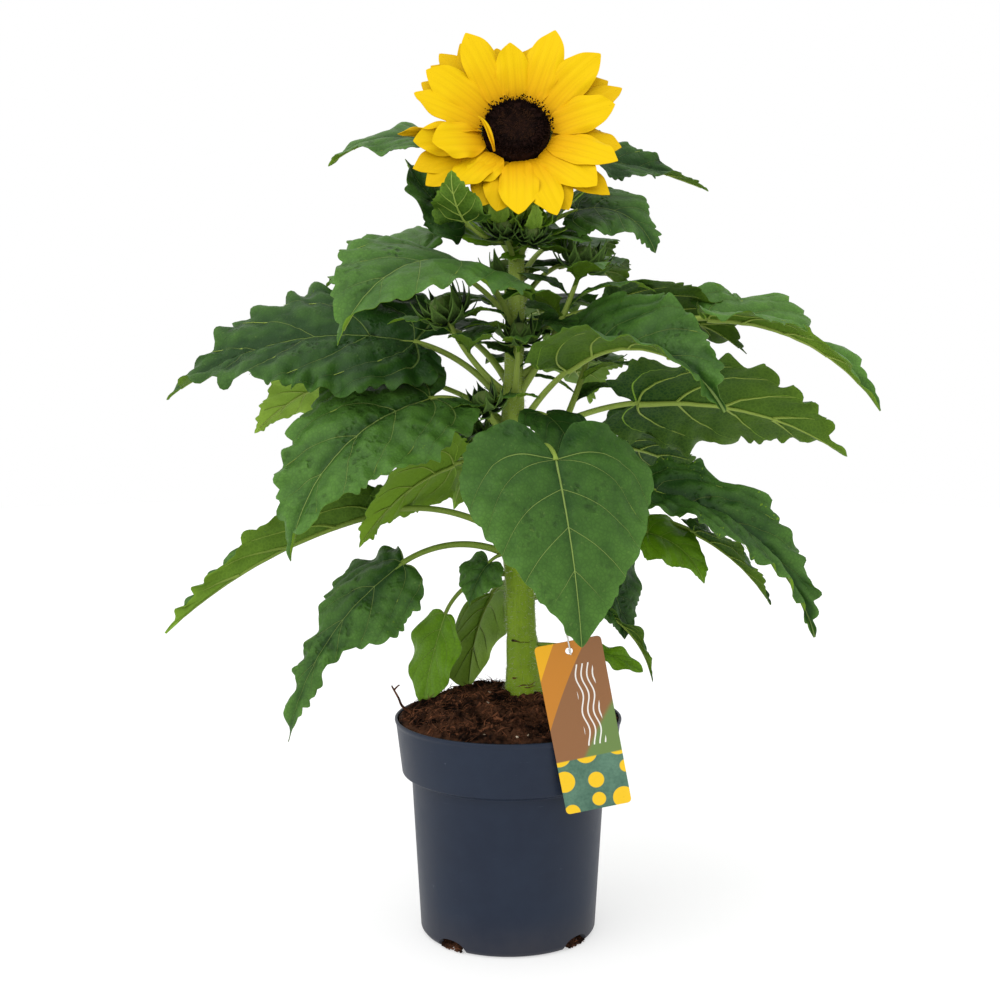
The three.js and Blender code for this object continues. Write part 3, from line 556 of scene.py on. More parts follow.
def petal_finish(name, tip, base, back):
    """A ray petal: warmer towards its base, with fine grooves that run to its tip, painted shade in their
    troughs, and painted shade on the petals of the back layer.
    """

    def build(tree):
        blade = attribute(tree, "blade")
        x, y, below = blade.parts()
        tone = attribute(tree, "tone", "Fac")
        streaks = add(tree, "ShaderNodeCombineXYZ", {"X": x * 0.8, "Y": y * 9.0, "Z": tone})
        grain = noise_of(tree, streaks, 1.6, 2)
        groove = ((y * 16.0).math("SINE") * 0.5 + 0.5) * 0.5 + grain * 0.5
        warm = ((1.0 - x) * 1.3 - 0.45 + (grain - 0.5) * 0.7).clamp()
        face = color_mix(tree, warm, tip, base)
        # Painted shade: the grooves' troughs are painted darker, most near the base.
        line = (1.0 - groove.step(0.12, 0.45)) * ((1.0 - x) * 0.27 + 0.03)
        face = color_mix(tree, line, face, darker(base, 0.6))
        # Painted shade: a petal's tone darkens it towards its underside colour, and the back layer's petals
        # have it.
        face = color_mix(tree, tone * 0.6, face, back)
        return {
            "Base Color": color_mix(tree, below * 0.8, face, back),
            "Roughness": 0.6,
            "Specular IOR Level": 0.08,
            "Normal": bump(tree, groove, 0.0005, 0.5),
        }

    return surface(name, build)


def crumb_finish(name, dark, light, scale=700.0, rough_value=0.95):
    """Peat, bark, fibres and florets: plain broken colour with a coarse grain."""

    def build(tree):
        place = object_place(tree)
        shade = mottle(tree, scale * 0.25, scale, place)
        grain = noise_of(tree, place, scale * 2, 3)
        return {
            "Base Color": color_mix(tree, shade.step(0.3, 0.75), dark, light),
            "Roughness": rough_value,
            "Specular IOR Level": 0.06,
            "Normal": bump(tree, grain, 0.0006, 0.8),
        }

    return surface(name, build)


def pot_finish():
    """Blue-grey moulded plastic, satin, with faint drag marks, pale scuffs and dust near the foot."""

    def build(tree):
        place = object_place(tree)
        shade = mottle(tree, 14.0, 90.0, place)
        drag = add(tree, "ShaderNodeMapping", {"Vector": place, "Scale": (1.0, 1.0, 14.0)})
        scratch = noise_of(tree, drag, 60.0, 4, 0.7).step(0.66, 0.8)
        spots = noise_of(tree, place, 120.0, 2).step(0.74, 0.8)
        fine = noise_of(tree, place, 2600.0, 1)
        height = place.parts()[2]
        dust = (1.0 - height.step(0.0, 0.035)) * shade * 0.5
        base = color_mix(tree, shade, (0.005, 0.010, 0.025), (0.012, 0.021, 0.041))
        base = color_mix(tree, (scratch * 0.4 + spots * 0.45).clamp(), base, (0.1, 0.12, 0.16))
        base = color_mix(tree, dust, base, (0.05, 0.04, 0.035))
        return {
            "Base Color": base,
            "Roughness": (shade * 0.18 + scratch * 0.15 + 0.38).clamp(),
            "Specular IOR Level": 0.24,
            "Normal": bump(tree, fine * 0.5 + shade, 0.0002, 0.5),
        }

    return surface("pot_plastic", build)


def label_finish():
    """A printed card: slanting bands of colour with pale waves, and below them round dots on blue-green."""

    def build(tree):
        u, v, _ = attribute(tree, "blade").parts()
        lean = u - v * 1.35 + 1.35 - (u * u) * 0.2
        print_color = color_mix(tree, lean.step(1.28, 1.36), (0.25, 0.11, 0.04), (0.13, 0.21, 0.055))
        print_color = color_mix(tree, lean.step(0.66, 0.67), (0.50, 0.19, 0.015), print_color)
        print_color = color_mix(tree, lean.step(0.27, 0.28), (0.74, 0.37, 0.003), print_color)
        cell = add(tree, "ShaderNodeCombineXYZ", {"X": u * 2.3, "Y": v * 5.9})
        dots = add(tree, "ShaderNodeTexVoronoi", {"Vector": cell, "Scale": 1.0, "Randomness": 0.35})
        field = color_mix(tree, mottle(tree, 60.0, 500.0), (0.02, 0.075, 0.05), (0.12, 0.24, 0.16))
        field = color_mix(tree, 1.0 - dots.step(0.40, 0.42), field, (0.80, 0.50, 0.008))
        field = color_mix(tree, 1.0 - dots.step(0.15, 0.17), field, (0.10, 0.035, 0.02))
        print_color = color_mix(tree, 1.0 - v.step(0.31, 0.32), print_color, field)
        wave = (v * 30.0).math("SINE") * 0.03
        line = ((u - wave).math("PINGPONG", 0.085) - 0.0425).abs()
        band = u.over(0.5) * (1.0 - u.over(0.8)) * v.over(0.38) * (1.0 - v.over(0.86))
        waves = (1.0 - line.step(0.008, 0.013)) * band * 0.9
        print_color = color_mix(tree, waves, print_color, (0.86, 0.84, 0.8))
        return {
            "Base Color": print_color,
            "Roughness": mottle(tree, 40.0, 900.0) * 0.08 + 0.3,
            "Specular IOR Level": 0.25,
            "Coat Weight": 0.1,
            "Coat Roughness": 0.15,
        }

    return surface("label_card", build)


def stage_finish():
    """A pale matt floor that glows a little, so that it stays near white."""

    def build(tree):
        tone = noise_of(tree, object_place(tree), 0.6, 1)
        return {
            "Base Color": color_mix(tree, tone, (0.50, 0.50, 0.50), (0.52, 0.52, 0.52)),
            "Roughness": 0.9,
            "Emission Color": (1.0, 1.0, 1.0, 1.0),
            "Emission Strength": 0.5,
        }

    return surface("pale_floor", build)


# The plant's lines and the leaf rule, as in the solids

PATH_STEPS = 20


def stem_line(share):
    """The stem's middle line, whose ends run straight on."""
    first, last = np.array(STEM_POINTS[0], float), np.array(STEM_POINTS[-1], float)
    before, after = 2 * first - STEM_POINTS[1], 2 * last - STEM_POINTS[-2]
    spans = len(STEM_POINTS) - 1
    inner = (1 + np.asarray(share, float) * spans) / (spans + 2)
    return spline([before, *STEM_POINTS, after], inner)


STEM_SAMPLES = stem_line(np.linspace(0, 1, 400))


def stem_point_at(height):
    return np.array([np.interp(height, STEM_SAMPLES[:, 2], STEM_SAMPLES[:, c]) for c in range(3)])


def stem_radius(share):
    """The stem's radius at a share of its length from the soil to the end of its neck."""
    flare = STEM_FLARE["radius"] * np.exp(-STEM_FLARE["fade"] * share)
    return mix(STEM_BASE_RADIUS, STEM_TIP_RADIUS, share**STEM_TAPER) + flare


def neck_line(share):
    """The bend from the stem's end to the way the flower faces."""
    turn = np.radians(90 - FLOWER_TILT) * np.asarray(share, float)
    start = np.array(STEM_POINTS[-1], float)
    rise = np.stack([0 * turn, -NECK_RADIUS * (1 - np.cos(turn)), NECK_RADIUS * np.sin(turn)], -1)
    return start + rise


def heading_frame(elevation, heading, roll):
    """Stations with their directions along, side and up, from angles in degrees. Heading 0 is +X and 90
    is +Y, and a positive elevation points up."""
    e, h, r = (np.radians(v) for v in np.broadcast_arrays(elevation, heading, roll))
    along = np.stack([np.cos(e) * np.cos(h), np.cos(e) * np.sin(h), np.sin(e)], -1)
    level = np.stack([-np.sin(h), np.cos(h), 0 * h], -1)
    above = np.cross(along, level)
    turn, lift = np.cos(r)[:, None], np.sin(r)[:, None]
    side = level * turn + above * lift
    up = above * turn - level * lift
    return np.stack([0 * along, along, side, up], 1)


def walk(stations, start, length):
    """Places the stations one after another from the start, each step along the last one's direction."""
    steps = np.cumsum(stations[:-1, 1], axis=0) * (length / PATH_STEPS)
    stations[:, 0] = start
    stations[1:, 0] += steps
    return stations


# petiole is a stalk's length, and rise, level and droop are the elevations in degrees where the stalk
# leaves the stem, where the blade begins and at its tip. crook says how late the stalk bends and swing how
# far it turns sideways. tilt rolls the blade and twist rolls it further towards its tip, while curl turns
# its tip sideways. fold lifts its halves from the midrib, cup bends them back down, ruffle is the height of
# the wave at its margin, and lobe stretches what lies behind its root. tail rolls the blade's end, from the
# share tail_from of its length on. A young leaf has a fresher green.
LEAF_DEFAULTS = dict(
    crook=1, swing=0, tilt=0, twist=0, curl=0, fold=12, cup=30, ruffle=3, lobe=1, tail=0, tail_from=0.74,
    young=False,
)


def leaf_path(leaf, root):
    """The stations along a leaf's stalk and then along its midrib."""
    k = np.linspace(0, 1, PATH_STEPS + 1)
    stalk = heading_frame(
        mix(leaf["rise"], leaf["level"], k ** leaf["crook"]),
        leaf["heading"] + leaf["swing"] * k,
        leaf["tilt"] * k * k,
    )
    walk(stalk, root, leaf["petiole"])
    rib = heading_frame(
        mix(leaf["level"], leaf["droop"], k),
        leaf["heading"] + leaf["swing"] + leaf["curl"] * k,
        leaf["tilt"] + leaf["twist"] * k,
    )
    return stalk, walk(rib, stalk[-1, 0], leaf["blade"])


def between(stations, share):
    """The stations at these shares of the way, on a smooth line through the given ones."""
    flat = spline(stations.reshape(len(stations), 12), share).reshape(*np.shape(share), 4, 3)
    flat[..., 1:, :] = unit(flat[..., 1:, :])
    return flat


def blade_points(leaf, rib, x, y):
    """Bends the flat blade: x is a share of the midrib and y a signed share of the half width."""
    station = between(rib, np.clip(x, 0, 1))
    tail = math.radians(leaf["tail"]) * smooth_step(leaf["tail_from"], 1.0, x)[..., None]
    side, up = station[..., 2, :], station[..., 3, :]
    side, up = side * np.cos(tail) + up * np.sin(tail), up * np.cos(tail) - side * np.sin(tail)
    half = leaf["width"] / 2
    out = np.abs(y)
    fold, cup = math.radians(leaf["fold"]), math.radians(leaf["cup"]) or 1e-6
    lean = fold - cup * out
    across = half * (np.sin(fold) - np.sin(lean)) / cup
    raised = half * (np.cos(lean) - np.cos(fold)) / cup
    phase = 2.3 * x + np.where(y > 0, 0.1, 0.55)
    wave = leaf["ruffle"] * out**2 * np.sin(2 * math.pi * phase)
    beyond = (np.minimum(x, 0) + np.maximum(x - 1, 0)) * leaf["blade"]
    point, along = station[..., 0, :], station[..., 1, :]
    sign = np.sign(y)
    points = point + along * beyond[..., None] + side * (sign * across)[..., None]
    points = points + up * (raised + wave)[..., None]
    normals = up * np.cos(lean)[..., None] - side * (sign * np.sin(lean))[..., None]
    return points, normals


# Outlines of half a blade, from its root round to its tip, in shares of its length and half width
BLADE_OUTLINE = [
    (0, 0), (-0.11, 0.26), (-0.11, 0.58), (0.02, 0.88), (0.2, 1),
    (0.4, 0.9), (0.58, 0.65), (0.75, 0.36), (0.89, 0.13), (1, 0),
]
FRONT_OUTLINE = [
    (0, 0), (-0.10, 0.20), (-0.125, 0.50), (-0.06, 0.85), (0.08, 1.0),
    (0.24, 0.97), (0.4, 0.83), (0.58, 0.61), (0.75, 0.38), (0.89, 0.18), (1, 0),
]
TAILED_OUTLINE = [
    (0, 0), (-0.06, 0.3), (0.0, 0.72), (0.16, 1.0), (0.34, 0.86), (0.48, 0.46), (0.62, 0.3), (0.82, 0.2),
    (1, 0),
]
OVAL_OUTLINE = [
    (0, 0), (-0.03, 0.25), (0.03, 0.55), (0.2, 0.88), (0.42, 1), (0.62, 0.94), (0.8, 0.68), (0.93, 0.34),
    (1, 0),
]
SMALL_OUTLINE = [(0, 0.12), (0.14, 0.1), (0.25, 0.45), (0.42, 0.96), (0.62, 0.85), (0.84, 0.34), (1, 0)]
RAY_OUTLINE = [
    (0, 0.3), (0.05, 0.5), (0.2, 0.8), (0.4, 0.97), (0.6, 0.97), (0.78, 0.76), (0.92, 0.36), (1, 0)
]
BRACT_OUTLINE = [(0, 0.5), (0.1, 0.7), (0.28, 0.98), (0.45, 0.9), (0.62, 0.5), (0.8, 0.18), (1, 0)]

# How a blade is drawn. tooth is the pitch of its margin's teeth, depth their height and lobing that of
# longer waves. puff is the height of the pucker between its veins, sway that of its slow bends, frill that
# of the waves at its margin, each frill_length long, and groove that of lengthwise grooves. thick is the
# sheet's thickness, and cell the width of a column of its mesh. tone goes from dark 0 to light 1 and may go
# past both, tone_under is that of its underside, and margin adds to them near the edge. The tones are a
# leaf's own lightness and on many leaves also painted light and shade for how it is lit. contrast, veined
# and folded are the strength of the painted light and shade over its pucker, of its pale veins and of its
# sunk folds with their painted shade.
LOOK_DEFAULTS = dict(
    outline=BLADE_OUTLINE, tooth=9.0, fewest_teeth=5, depth=0.0, lobing=0.0, puff=0.0, sway=0.0, frill=0.0,
    frill_length=27.0, groove=0.0, thick=0.5, cell=3.1, margin=0.0, contrast=1.0, veined=0.3, folded=1.0,
)
TOOTH_ROWS = 6
OUTLINE_SAMPLES = 600
COLUMN_LIMITS = (3, 22)
GROOVES = 1.6
# The blade's material is the first of its piece, and the stalk's the second
STALK_SLOT = 1


def look_of(**look):
    """A blade's look from what differs from the defaults. Its underside has its tone if none is given."""
    look = {**LOOK_DEFAULTS, **look}
    return {"tone_under": look["tone"], **look}


def edge_line(leaf, outline):
    """The blade's outline in millimetres, its shares along the run, and the run's length at each."""
    shares = np.linspace(0, 1, OUTLINE_SAMPLES)
    line = spline(outline, shares)
    line[:, 0] = np.where(line[:, 0] < 0, line[:, 0] * leaf["lobe"], line[:, 0])
    line = line * (leaf["blade"], leaf["width"] / 2)
    run = np.concatenate([[0], np.cumsum(np.linalg.norm(np.diff(line, axis=0), axis=1))])
    return line, shares, run


def toothed_edge(leaf, look, teeth, rng):
    """One margin as shares of the blade, with rounded teeth that point to its tip, and how far along the
    outline each of its places is."""
    line, shares, run = edge_line(leaf, look["outline"])
    rows = teeth * TOOTH_ROWS
    at = np.linspace(0, run[-1], rows + 1)
    margin = np.stack([np.interp(at, run, line[:, c]) for c in range(2)], -1)
    tangent = unit(np.gradient(margin, axis=0))
    outward = np.stack([-tangent[:, 1], tangent[:, 0]], -1)
    share = np.linspace(0, 1, rows + 1)
    drift = 0.8 * np.sin(share * 9.0 + rng.uniform(0, 6))
    drift = drift + 0.4 * np.sin(share * 23.0 + rng.uniform(0, 6))
    phase = share * teeth + drift * np.sin(share * math.pi)
    sizes = rng.uniform(0.0, 1.9, teeth + 3)[np.clip(np.floor(phase).astype(int) + 1, 0, teeth + 2)]
    form = np.sin(math.pi * np.mod(phase, 1.0) ** 1.6) ** 0.7
    fade = smooth_step(0.05, 0.2, share) * (1 - smooth_step(0.93, 1.0, share))
    waves = np.sin(at / 6.1 + rng.uniform(0, 6)) + np.sin(at / 9.7 + rng.uniform(0, 6))
    reach = (look["depth"] * sizes * form + look["lobing"] * waves) * fade
    margin = margin + outward * reach[:, None]
    return margin / (leaf["blade"], leaf["width"] / 2), np.interp(at, run, shares)


def vein_turn(x, out):
    """Which side vein a place belongs to, as a running number that is whole on each vein."""
    ahead = (x - VEIN_START * out - VEIN_SWEEP * out**VEIN_BEND) / (1 + VEIN_LEAN * out)
    reach = np.sqrt(x * x + (out * HALF_BREADTH) ** 2) + 0.01
    return np.where(ahead > 0, np.maximum(ahead, 0) ** VEIN_SPACING * VEIN_COUNT, ahead / reach * FAN_COUNT)


def blade_relief(leaf, look, x, y):
    """How far a blade stands off its plain bent form: sunk along its veins, raised between them. Also the
    pucker, the quilting and the crease along its midrib that this is made from."""
    out = np.abs(y)
    half = leaf["width"] / 2
    flat = np.stack([x * leaf["blade"], y * half, 0 * x], -1)
    seed = look["seed"] * 0.618 % 97
    swell = np.abs(np.mod(vein_turn(x, out) + 0.5, 1.0) - 0.5) * 2
    quilt = np.sin(swell * math.pi / 2) ** 1.5 * smooth_step(0, 0.2, out) * (1 - smooth_step(0.8, 1, x))
    pucker = rough(flat, 11.0, seed) + 0.6 * rough(flat, 6.0, seed + 9)
    crease = np.exp(-((y * half / 3.2) ** 2))
    sway = rough(flat, 42.0, seed + 21)
    lift = look["puff"] * (quilt + 0.9 * pucker * (1 - 0.6 * crease) - 0.9 * crease)
    lift = lift + look["sway"] * sway * np.minimum(out, 1) * (1 - smooth_step(0.9, 1, x))
    lift = lift + look["groove"] * np.cos(2 * math.pi * GROOVES * y)
    return lift * smooth_step(-0.01, 0.06, np.hypot(x, y * HALF_BREADTH)), pucker, quilt, crease


def sheet_faces(rows, wide):
    """Faces of a closed sheet: the top's grid of points, then the bottom's, and the rim between them."""
    count = rows * wide
    faces = grid_faces(rows, wide) + grid_faces(rows, wide, first=count, flip=True)
    for i in range(rows - 1):
        a, b = i * wide, (i + 1) * wide
        faces.append((a, b, b + count, a + count))
        a, b = a + wide - 1, b + wide - 1
        faces.append((a, a + count, b + count, b))
    for row in (0, (rows - 1) * wide):
        for j in range(row, row + wide - 1):
            end = (j, j + count, j + 1 + count, j + 1)
            faces.append(end if row == 0 else end[::-1])
    return [face[::-1] for face in faces]


def blade_sheet(shape, leaf, rib, look):
    """A blade as a thin closed sheet, puckered between its veins and frilled at its toothed margin."""
    rng = np.random.default_rng(look["seed"])
    _, _, run = edge_line(leaf, look["outline"])
    teeth = max(look["fewest_teeth"], round(run[-1] / look["tooth"]))
    half = leaf["width"] / 2
    columns = int(np.clip(round(half / look["cell"]), *COLUMN_LIMITS))
    u = np.linspace(-1, 1, 2 * columns + 1)
    (first_edge, share), (second_edge, _) = (toothed_edge(leaf, look, teeth, rng) for _ in range(2))
    rows = teeth * TOOTH_ROWS + 1
    edge = np.where((u < 0)[None, :, None], first_edge[:, None], second_edge[:, None])
    x = mix((share**2)[:, None], edge[..., 0], np.abs(u)[None])
    y = u[None] * edge[..., 1]
    points, normals = blade_points(leaf, rib, x, y)

    lift, pucker, quilt, crease = blade_relief(leaf, look, x, y)
    ends = np.sin(math.pi * np.clip(share, 0, 1))[:, None] ** 0.6
    frill_run = np.linspace(0, run[-1], rows)[:, None] / look["frill_length"]
    drift = np.sin(frill_run * 1.7 + look["seed"]) + np.sin(frill_run * 0.9)
    frill = np.sin(2 * math.pi * frill_run + np.sign(u) * 1.3 + 1.3 * drift)
    lift = lift + look["frill"] * frill * (np.abs(u) ** 3.5)[None] * ends
    points = points + normals * lift[..., None]

    # Painted light and shade over the pucker: lighter on the bulges and the quilting between the veins,
    # darker in the crease along the midrib.
    relief_shading = np.clip(0.5 + look["contrast"] * (0.36 * pucker + 0.3 * (quilt - 0.5) - 0.4 * crease), 0, 1)
    wide = len(u)
    thick = look["thick"] / 2
    blade = np.stack([x, y, 0 * x], -1).reshape(-1, 3)
    under = blade + (0, 0, 1)
    top = (points + normals * thick).reshape(-1, 3)
    bottom = (points - normals * thick).reshape(-1, 3)
    margin = np.tile(look["margin"] * np.abs(u) ** 8, rows)
    folded, veined = np.full(rows * wide, look["folded"]), np.full(rows * wide, look["veined"])
    shading = [
        np.stack([relief_shading.ravel(), tone + margin, veined, folded], -1)
        for tone in (look["tone"], look["tone_under"])
    ]
    places = np.vstack([blade, under])
    shape.add(np.vstack([top, bottom]), sheet_faces(rows, wide), 0, places, np.vstack(shading))


SIDE_VEINS = 4
VEIN_LIMIT = 0.93


def vein_cords(shape, leaf, rib, look):
    """The midrib and the side veins, which stand out as thin cords under the blade. A side vein that would
    reach past the blade's outline stops short of it."""
    size = leaf["blade"] / 150
    x = np.linspace(0.0, VEIN_LIMIT, 44)
    points, normals = blade_points(leaf, rib, x, 0 * x)
    lift = blade_relief(leaf, look, x, 0 * x)[0]
    radii = mix(1.8 * size + 0.4, 0.3, x**0.7)
    points = points + normals * (lift - 0.15 - radii * 0.75)[:, None]
    tube(shape, points, radii, 7, STALK_SLOT)
    line, _, _ = edge_line(leaf, look["outline"])
    front = line[np.argmax(line[:, 1]):] / (leaf["blade"], leaf["width"] / 2)
    for side in (-1, 1):
        for number in range(SIDE_VEINS):
            out = np.linspace(0.01, 0.94, 20)
            along = vein_place((number / VEIN_COUNT) ** (1 / VEIN_SPACING), out)
            limit = np.interp(along, front[:, 0], front[:, 1])
            kept = out < limit * VEIN_LIMIT
            if kept.sum() < 5:
                continue
            x, y = along[kept], side * out[kept]
            points, normals = blade_points(leaf, rib, x, y)
            lift = blade_relief(leaf, look, x, y)[0]
            thin = mix(0.8 * size + 0.2, 0.15, np.linspace(0, 1, kept.sum()))
            points = points + normals * (lift - 0.2 - thin * 0.75)[:, None]
            tube(shape, points, thin, 4, STALK_SLOT)


def stalk_tube(shape, leaf, stalk):
    """A leaf stalk: swollen where it leaves the stem and hollowed along its upper side."""
    root = min(2 + leaf["blade"] / 55, 4.6) * 0.74
    k = np.linspace(0, 1, 36)
    stations = between(stalk, k)
    radii = mix(root, root * 0.62, np.sqrt(k)) * (1 + 0.45 * np.exp(-k * leaf["petiole"] / 9))
    tube_on(shape, stations, radii, STALK_SECTION)


def tube_on(shape, stations, radii, section):
    """A closed stalk whose section is a list of (side, up) places, on given stations."""
    side, up = stations[:, 2], stations[:, 3]
    ring = side[:, None] * section[None, :, :1] + up[:, None] * section[None, :, 1:]
    body = stations[:, 0][:, None] + ring * np.asarray(radii)[:, None, None]
    shape.add(body, bar_faces(len(stations), len(section)), STALK_SLOT)


STALK_TURNS = turns_of(12)
STALK_REACH = 1 - 0.26 * np.exp(-((STALK_TURNS - math.pi / 2) / 0.42) ** 2) + 0.04 * np.cos(4 * STALK_TURNS)
ROUND_SECTION = np.stack([np.cos(STALK_TURNS), np.sin(STALK_TURNS)], -1)
STALK_SECTION = ROUND_SECTION * STALK_REACH[:, None]


def small_leaf(heading, level, droop, length, width, **more):
    """A leaf or bract without a stalk, from its first elevation to its last."""
    return {
        **LEAF_DEFAULTS, "heading": heading, "petiole": 0.01, "rise": level, "level": level, "droop": droop,
        "blade": length, "width": width, **more,
    }


def small_blade(shape, leaf, root, look):
    """Adds the blade of a leaf that starts at the root."""
    _, rib = leaf_path(leaf, root)
    blade_sheet(shape, leaf, rib, look)


# Growing by node trees

def grow(name, tree, given, base=None, smooth=True):
    """Runs a node tree on a base mesh and keeps what it grows as a plain mesh."""
    obj = bpy.data.objects.new(name, base or bpy.data.meshes.new(name))
    bpy.context.scene.collection.objects.link(obj)
    modifier = obj.modifiers.new("Grow", "NODES")
    modifier.node_group = tree
    sockets = {item.name: item for item in tree.interface.items_tree if item.in_out == "INPUT"}
    for label, value in given.items():
        modifier[sockets[label].identifier] = value
    depsgraph = bpy.context.evaluated_depsgraph_get()
    mesh = bpy.data.meshes.new_from_object(obj.evaluated_get(depsgraph), depsgraph=depsgraph)
    obj.modifiers.remove(modifier)
    obj.data = mesh
    mesh.polygons.foreach_set("use_smooth", [smooth] * len(mesh.polygons))
    return obj


def random_value(tree, low, high, seed):
    """A number between low and high for each point."""
    made = tree.nodes.new("FunctionNodeRandomValue")
    made.data_type = "FLOAT"
    plug(tree, made.inputs[2], low)
    plug(tree, made.inputs[3], high)
    plug(tree, made.inputs["Seed"], seed)
    return Wire(tree, made.outputs[1])


def finish_instances(tree, sink, points, item, rotation, size, material):
    """Puts the item at the points, makes it real mesh, gives it its material and ends the tree."""
    info = add(tree, "GeometryNodeObjectInfo", {"Object": item})
    placed = add(tree, "GeometryNodeInstanceOnPoints", {
        "Points": points, "Instance": info.out("Geometry"), "Rotation": rotation, "Scale": size,
    })
    real = add(tree, "GeometryNodeRealizeInstances", {"Geometry": placed})
    plug(tree, sink.inputs["Geometry"], add(tree, "GeometryNodeSetMaterial", {
        "Geometry": real, "Material": material,
    }))


def scatter_tree():
    """Strews an item over a surface, by so many to a square metre, each leant and turned at random."""
    tree, given, sink = new_group(
        "Scatter", "GeometryNodeTree",
        {
            "Geometry": "Geometry", "Item": "Object", "Density": 1000.0, "Least Lean": 0.0, "Lean": 0.5,
            "Smallest": 0.6, "Largest": 1.3, "Seed": 1, "Finish": "Material",
        },
        {"Geometry": "Geometry"},
    )
    strewn = add(tree, "GeometryNodeDistributePointsOnFaces", {
        "Mesh": given("Geometry"), "Density": given("Density"), "Seed": given("Seed"),
    })
    lean = random_value(tree, given("Least Lean"), given("Lean"), 3)
    spin = random_value(tree, 0.0, 2 * math.pi, 5)
    turn = add(tree, "ShaderNodeCombineXYZ", {"X": lean, "Z": spin})
    rotation = add(tree, "FunctionNodeRotateRotation", {
        "Rotation": strewn.out("Rotation"), "Rotate By": turn,
    }, rotation_space="LOCAL")
    size = random_value(tree, given("Smallest"), given("Largest"), 6)
    finish_instances(tree, sink, strewn, given("Item"), rotation, size, given("Finish"))
    return tree


def whorl_tree():
    """Sets an item round an axis, each turned by a fixed step from the last, from the inner radius to the
    outer one. A step of the golden angle makes a seed head, and an even share of a turn makes a ring."""
    tree, given, sink = new_group(
        "Whorl", "GeometryNodeTree",
        {
            "Item": "Object", "Count": 8, "Step": 0.785, "Start": 0.0, "Inner": 0.0, "Outer": 0.01,
            "Inner Height": 0.0, "Outer Height": 0.0, "Inner Lean": 0.0, "Outer Lean": 0.0,
            "Inner Size": 1.0, "Outer Size": 1.0, "Uneven": 0.1, "Seed": 1, "Finish": "Material",
        },
        {"Geometry": "Geometry"},
    )
    index = add(tree, "GeometryNodeInputIndex")
    share = (index + 0.5) / given("Count")

    def at_share(label):
        return given("Inner " + label) + (given("Outer " + label) - given("Inner " + label)) * share

    inner, outer = given("Inner"), given("Outer")
    radius = (inner * inner + (outer * outer - inner * inner) * share) ** 0.5
    uneven = given("Uneven")
    wobble = random_value(tree, -1.0, 1.0, given("Seed"))
    tip = random_value(tree, -1.0, 1.0, given("Seed") + 7.0)
    angle = index * given("Step") + given("Start") + wobble * uneven * 0.6
    lean = at_share("Lean") + tip * uneven
    size = at_share("Size") * (wobble * uneven * -1.0 + 1.0)
    place = add(tree, "ShaderNodeCombineXYZ", {
        "X": angle.math("COSINE") * radius, "Y": angle.math("SINE") * radius, "Z": at_share("Height"),
    })
    points = add(tree, "GeometryNodePoints", {"Count": given("Count"), "Position": place})
    rotation = add(tree, "ShaderNodeCombineXYZ", {"X": tip * uneven * 0.5, "Y": lean, "Z": angle})
    finish_instances(tree, sink, points, given("Item"), rotation, size, given("Finish"))
    return tree


SCATTER = scatter_tree()
WHORL = whorl_tree()


def strew(name, ground, thing, density, least_lean, lean, smallest, largest, seed, finish):
    """Strews a thing over the ground mesh. The leans are angles from the ground's normal, in radians."""
    return grow(name, SCATTER, {
        "Item": thing, "Density": float(density), "Least Lean": least_lean, "Lean": lean,
        "Smallest": smallest, "Largest": largest, "Seed": seed, "Finish": finish,
    }, ground, smooth=False)


def grow_ring(name, thing, count, start, radius, height, uneven, seed, finish):
    """Sets a thing round an axis so many times, at one radius and height in millimetres."""
    return grow(name, WHORL, {
        "Item": thing, "Count": count, "Step": 2 * math.pi / count, "Start": start, "Inner": radius * MM,
        "Outer": radius * MM, "Inner Height": height * MM, "Outer Height": height * MM, "Uneven": uneven,
        "Seed": seed, "Finish": finish,
    })


def places_of(mesh):
    """The mesh's points, in metres."""
    places = np.empty(len(mesh.vertices) * 3)
    mesh.vertices.foreach_get("co", places)
    return places.reshape(-1, 3)


def item(name, shape):
    """A small mesh that the node trees repeat."""
    return bpy.data.objects.new(name, shape.mesh(name))


def needle_item(name, length, radius, bend=0.0, sides=3, steps=3):
    """A tapered hair, fibre or spike that grows along +Z."""
    shape = Shape()
    k = np.linspace(0, 1, steps + 1)
    points = np.stack([bend * np.sin(k * 2.6), 0.4 * bend * np.sin(k * 5), k * length], -1)
    tube(shape, points, radius * (1.02 - 0.95 * k), sides, hint=(0, 1, 0))
    return item(name, shape)


def crumb_item(name, radius, seed):
    """A rough grain: a ball of a few faces with its points pushed in and out."""
    shape = Shape()
    rng = np.random.default_rng(seed)
    rings, sides = 3, 6
    turn = turns_of(sides)
    body = []
    for i in range(1, rings + 1):
        rise = math.pi * i / (rings + 1)
        ring = np.stack([np.cos(turn) * math.sin(rise), np.sin(turn) * math.sin(rise), 0 * turn], -1)
        body.append((ring - (0, 0, math.cos(rise))) * rng.uniform(0.65, 1.25, (sides, 1)))
    points = np.vstack([*body, [[0, 0, -0.8]], [[0, 0, 0.8]]]) * (radius, radius * 0.8, radius * 0.7)
    shape.add(points, pointed_faces(rings, sides))
    return item(name, shape)


# A tooth pitch so long that a small blade keeps to its fewest teeth
NO_TEETH = 99.0


def bract_item(name, length, width, level, droop, thick):
    """A pointed bract that leaves the axis at one elevation and ends at another."""
    shape = Shape()
    look = look_of(
        seed=5, tooth=NO_TEETH, fewest_teeth=2, tone=0.3, thick=thick, cell=width / 4.2, margin=0.9,
        outline=BRACT_OUTLINE,
    )
    bract = small_leaf(0, level, droop, length, width, ruffle=0, fold=10, cup=34)
    small_blade(shape, bract, np.zeros(3), look)
    thing = item(name, shape)
    tidy_mesh(thing.data)
    return thing


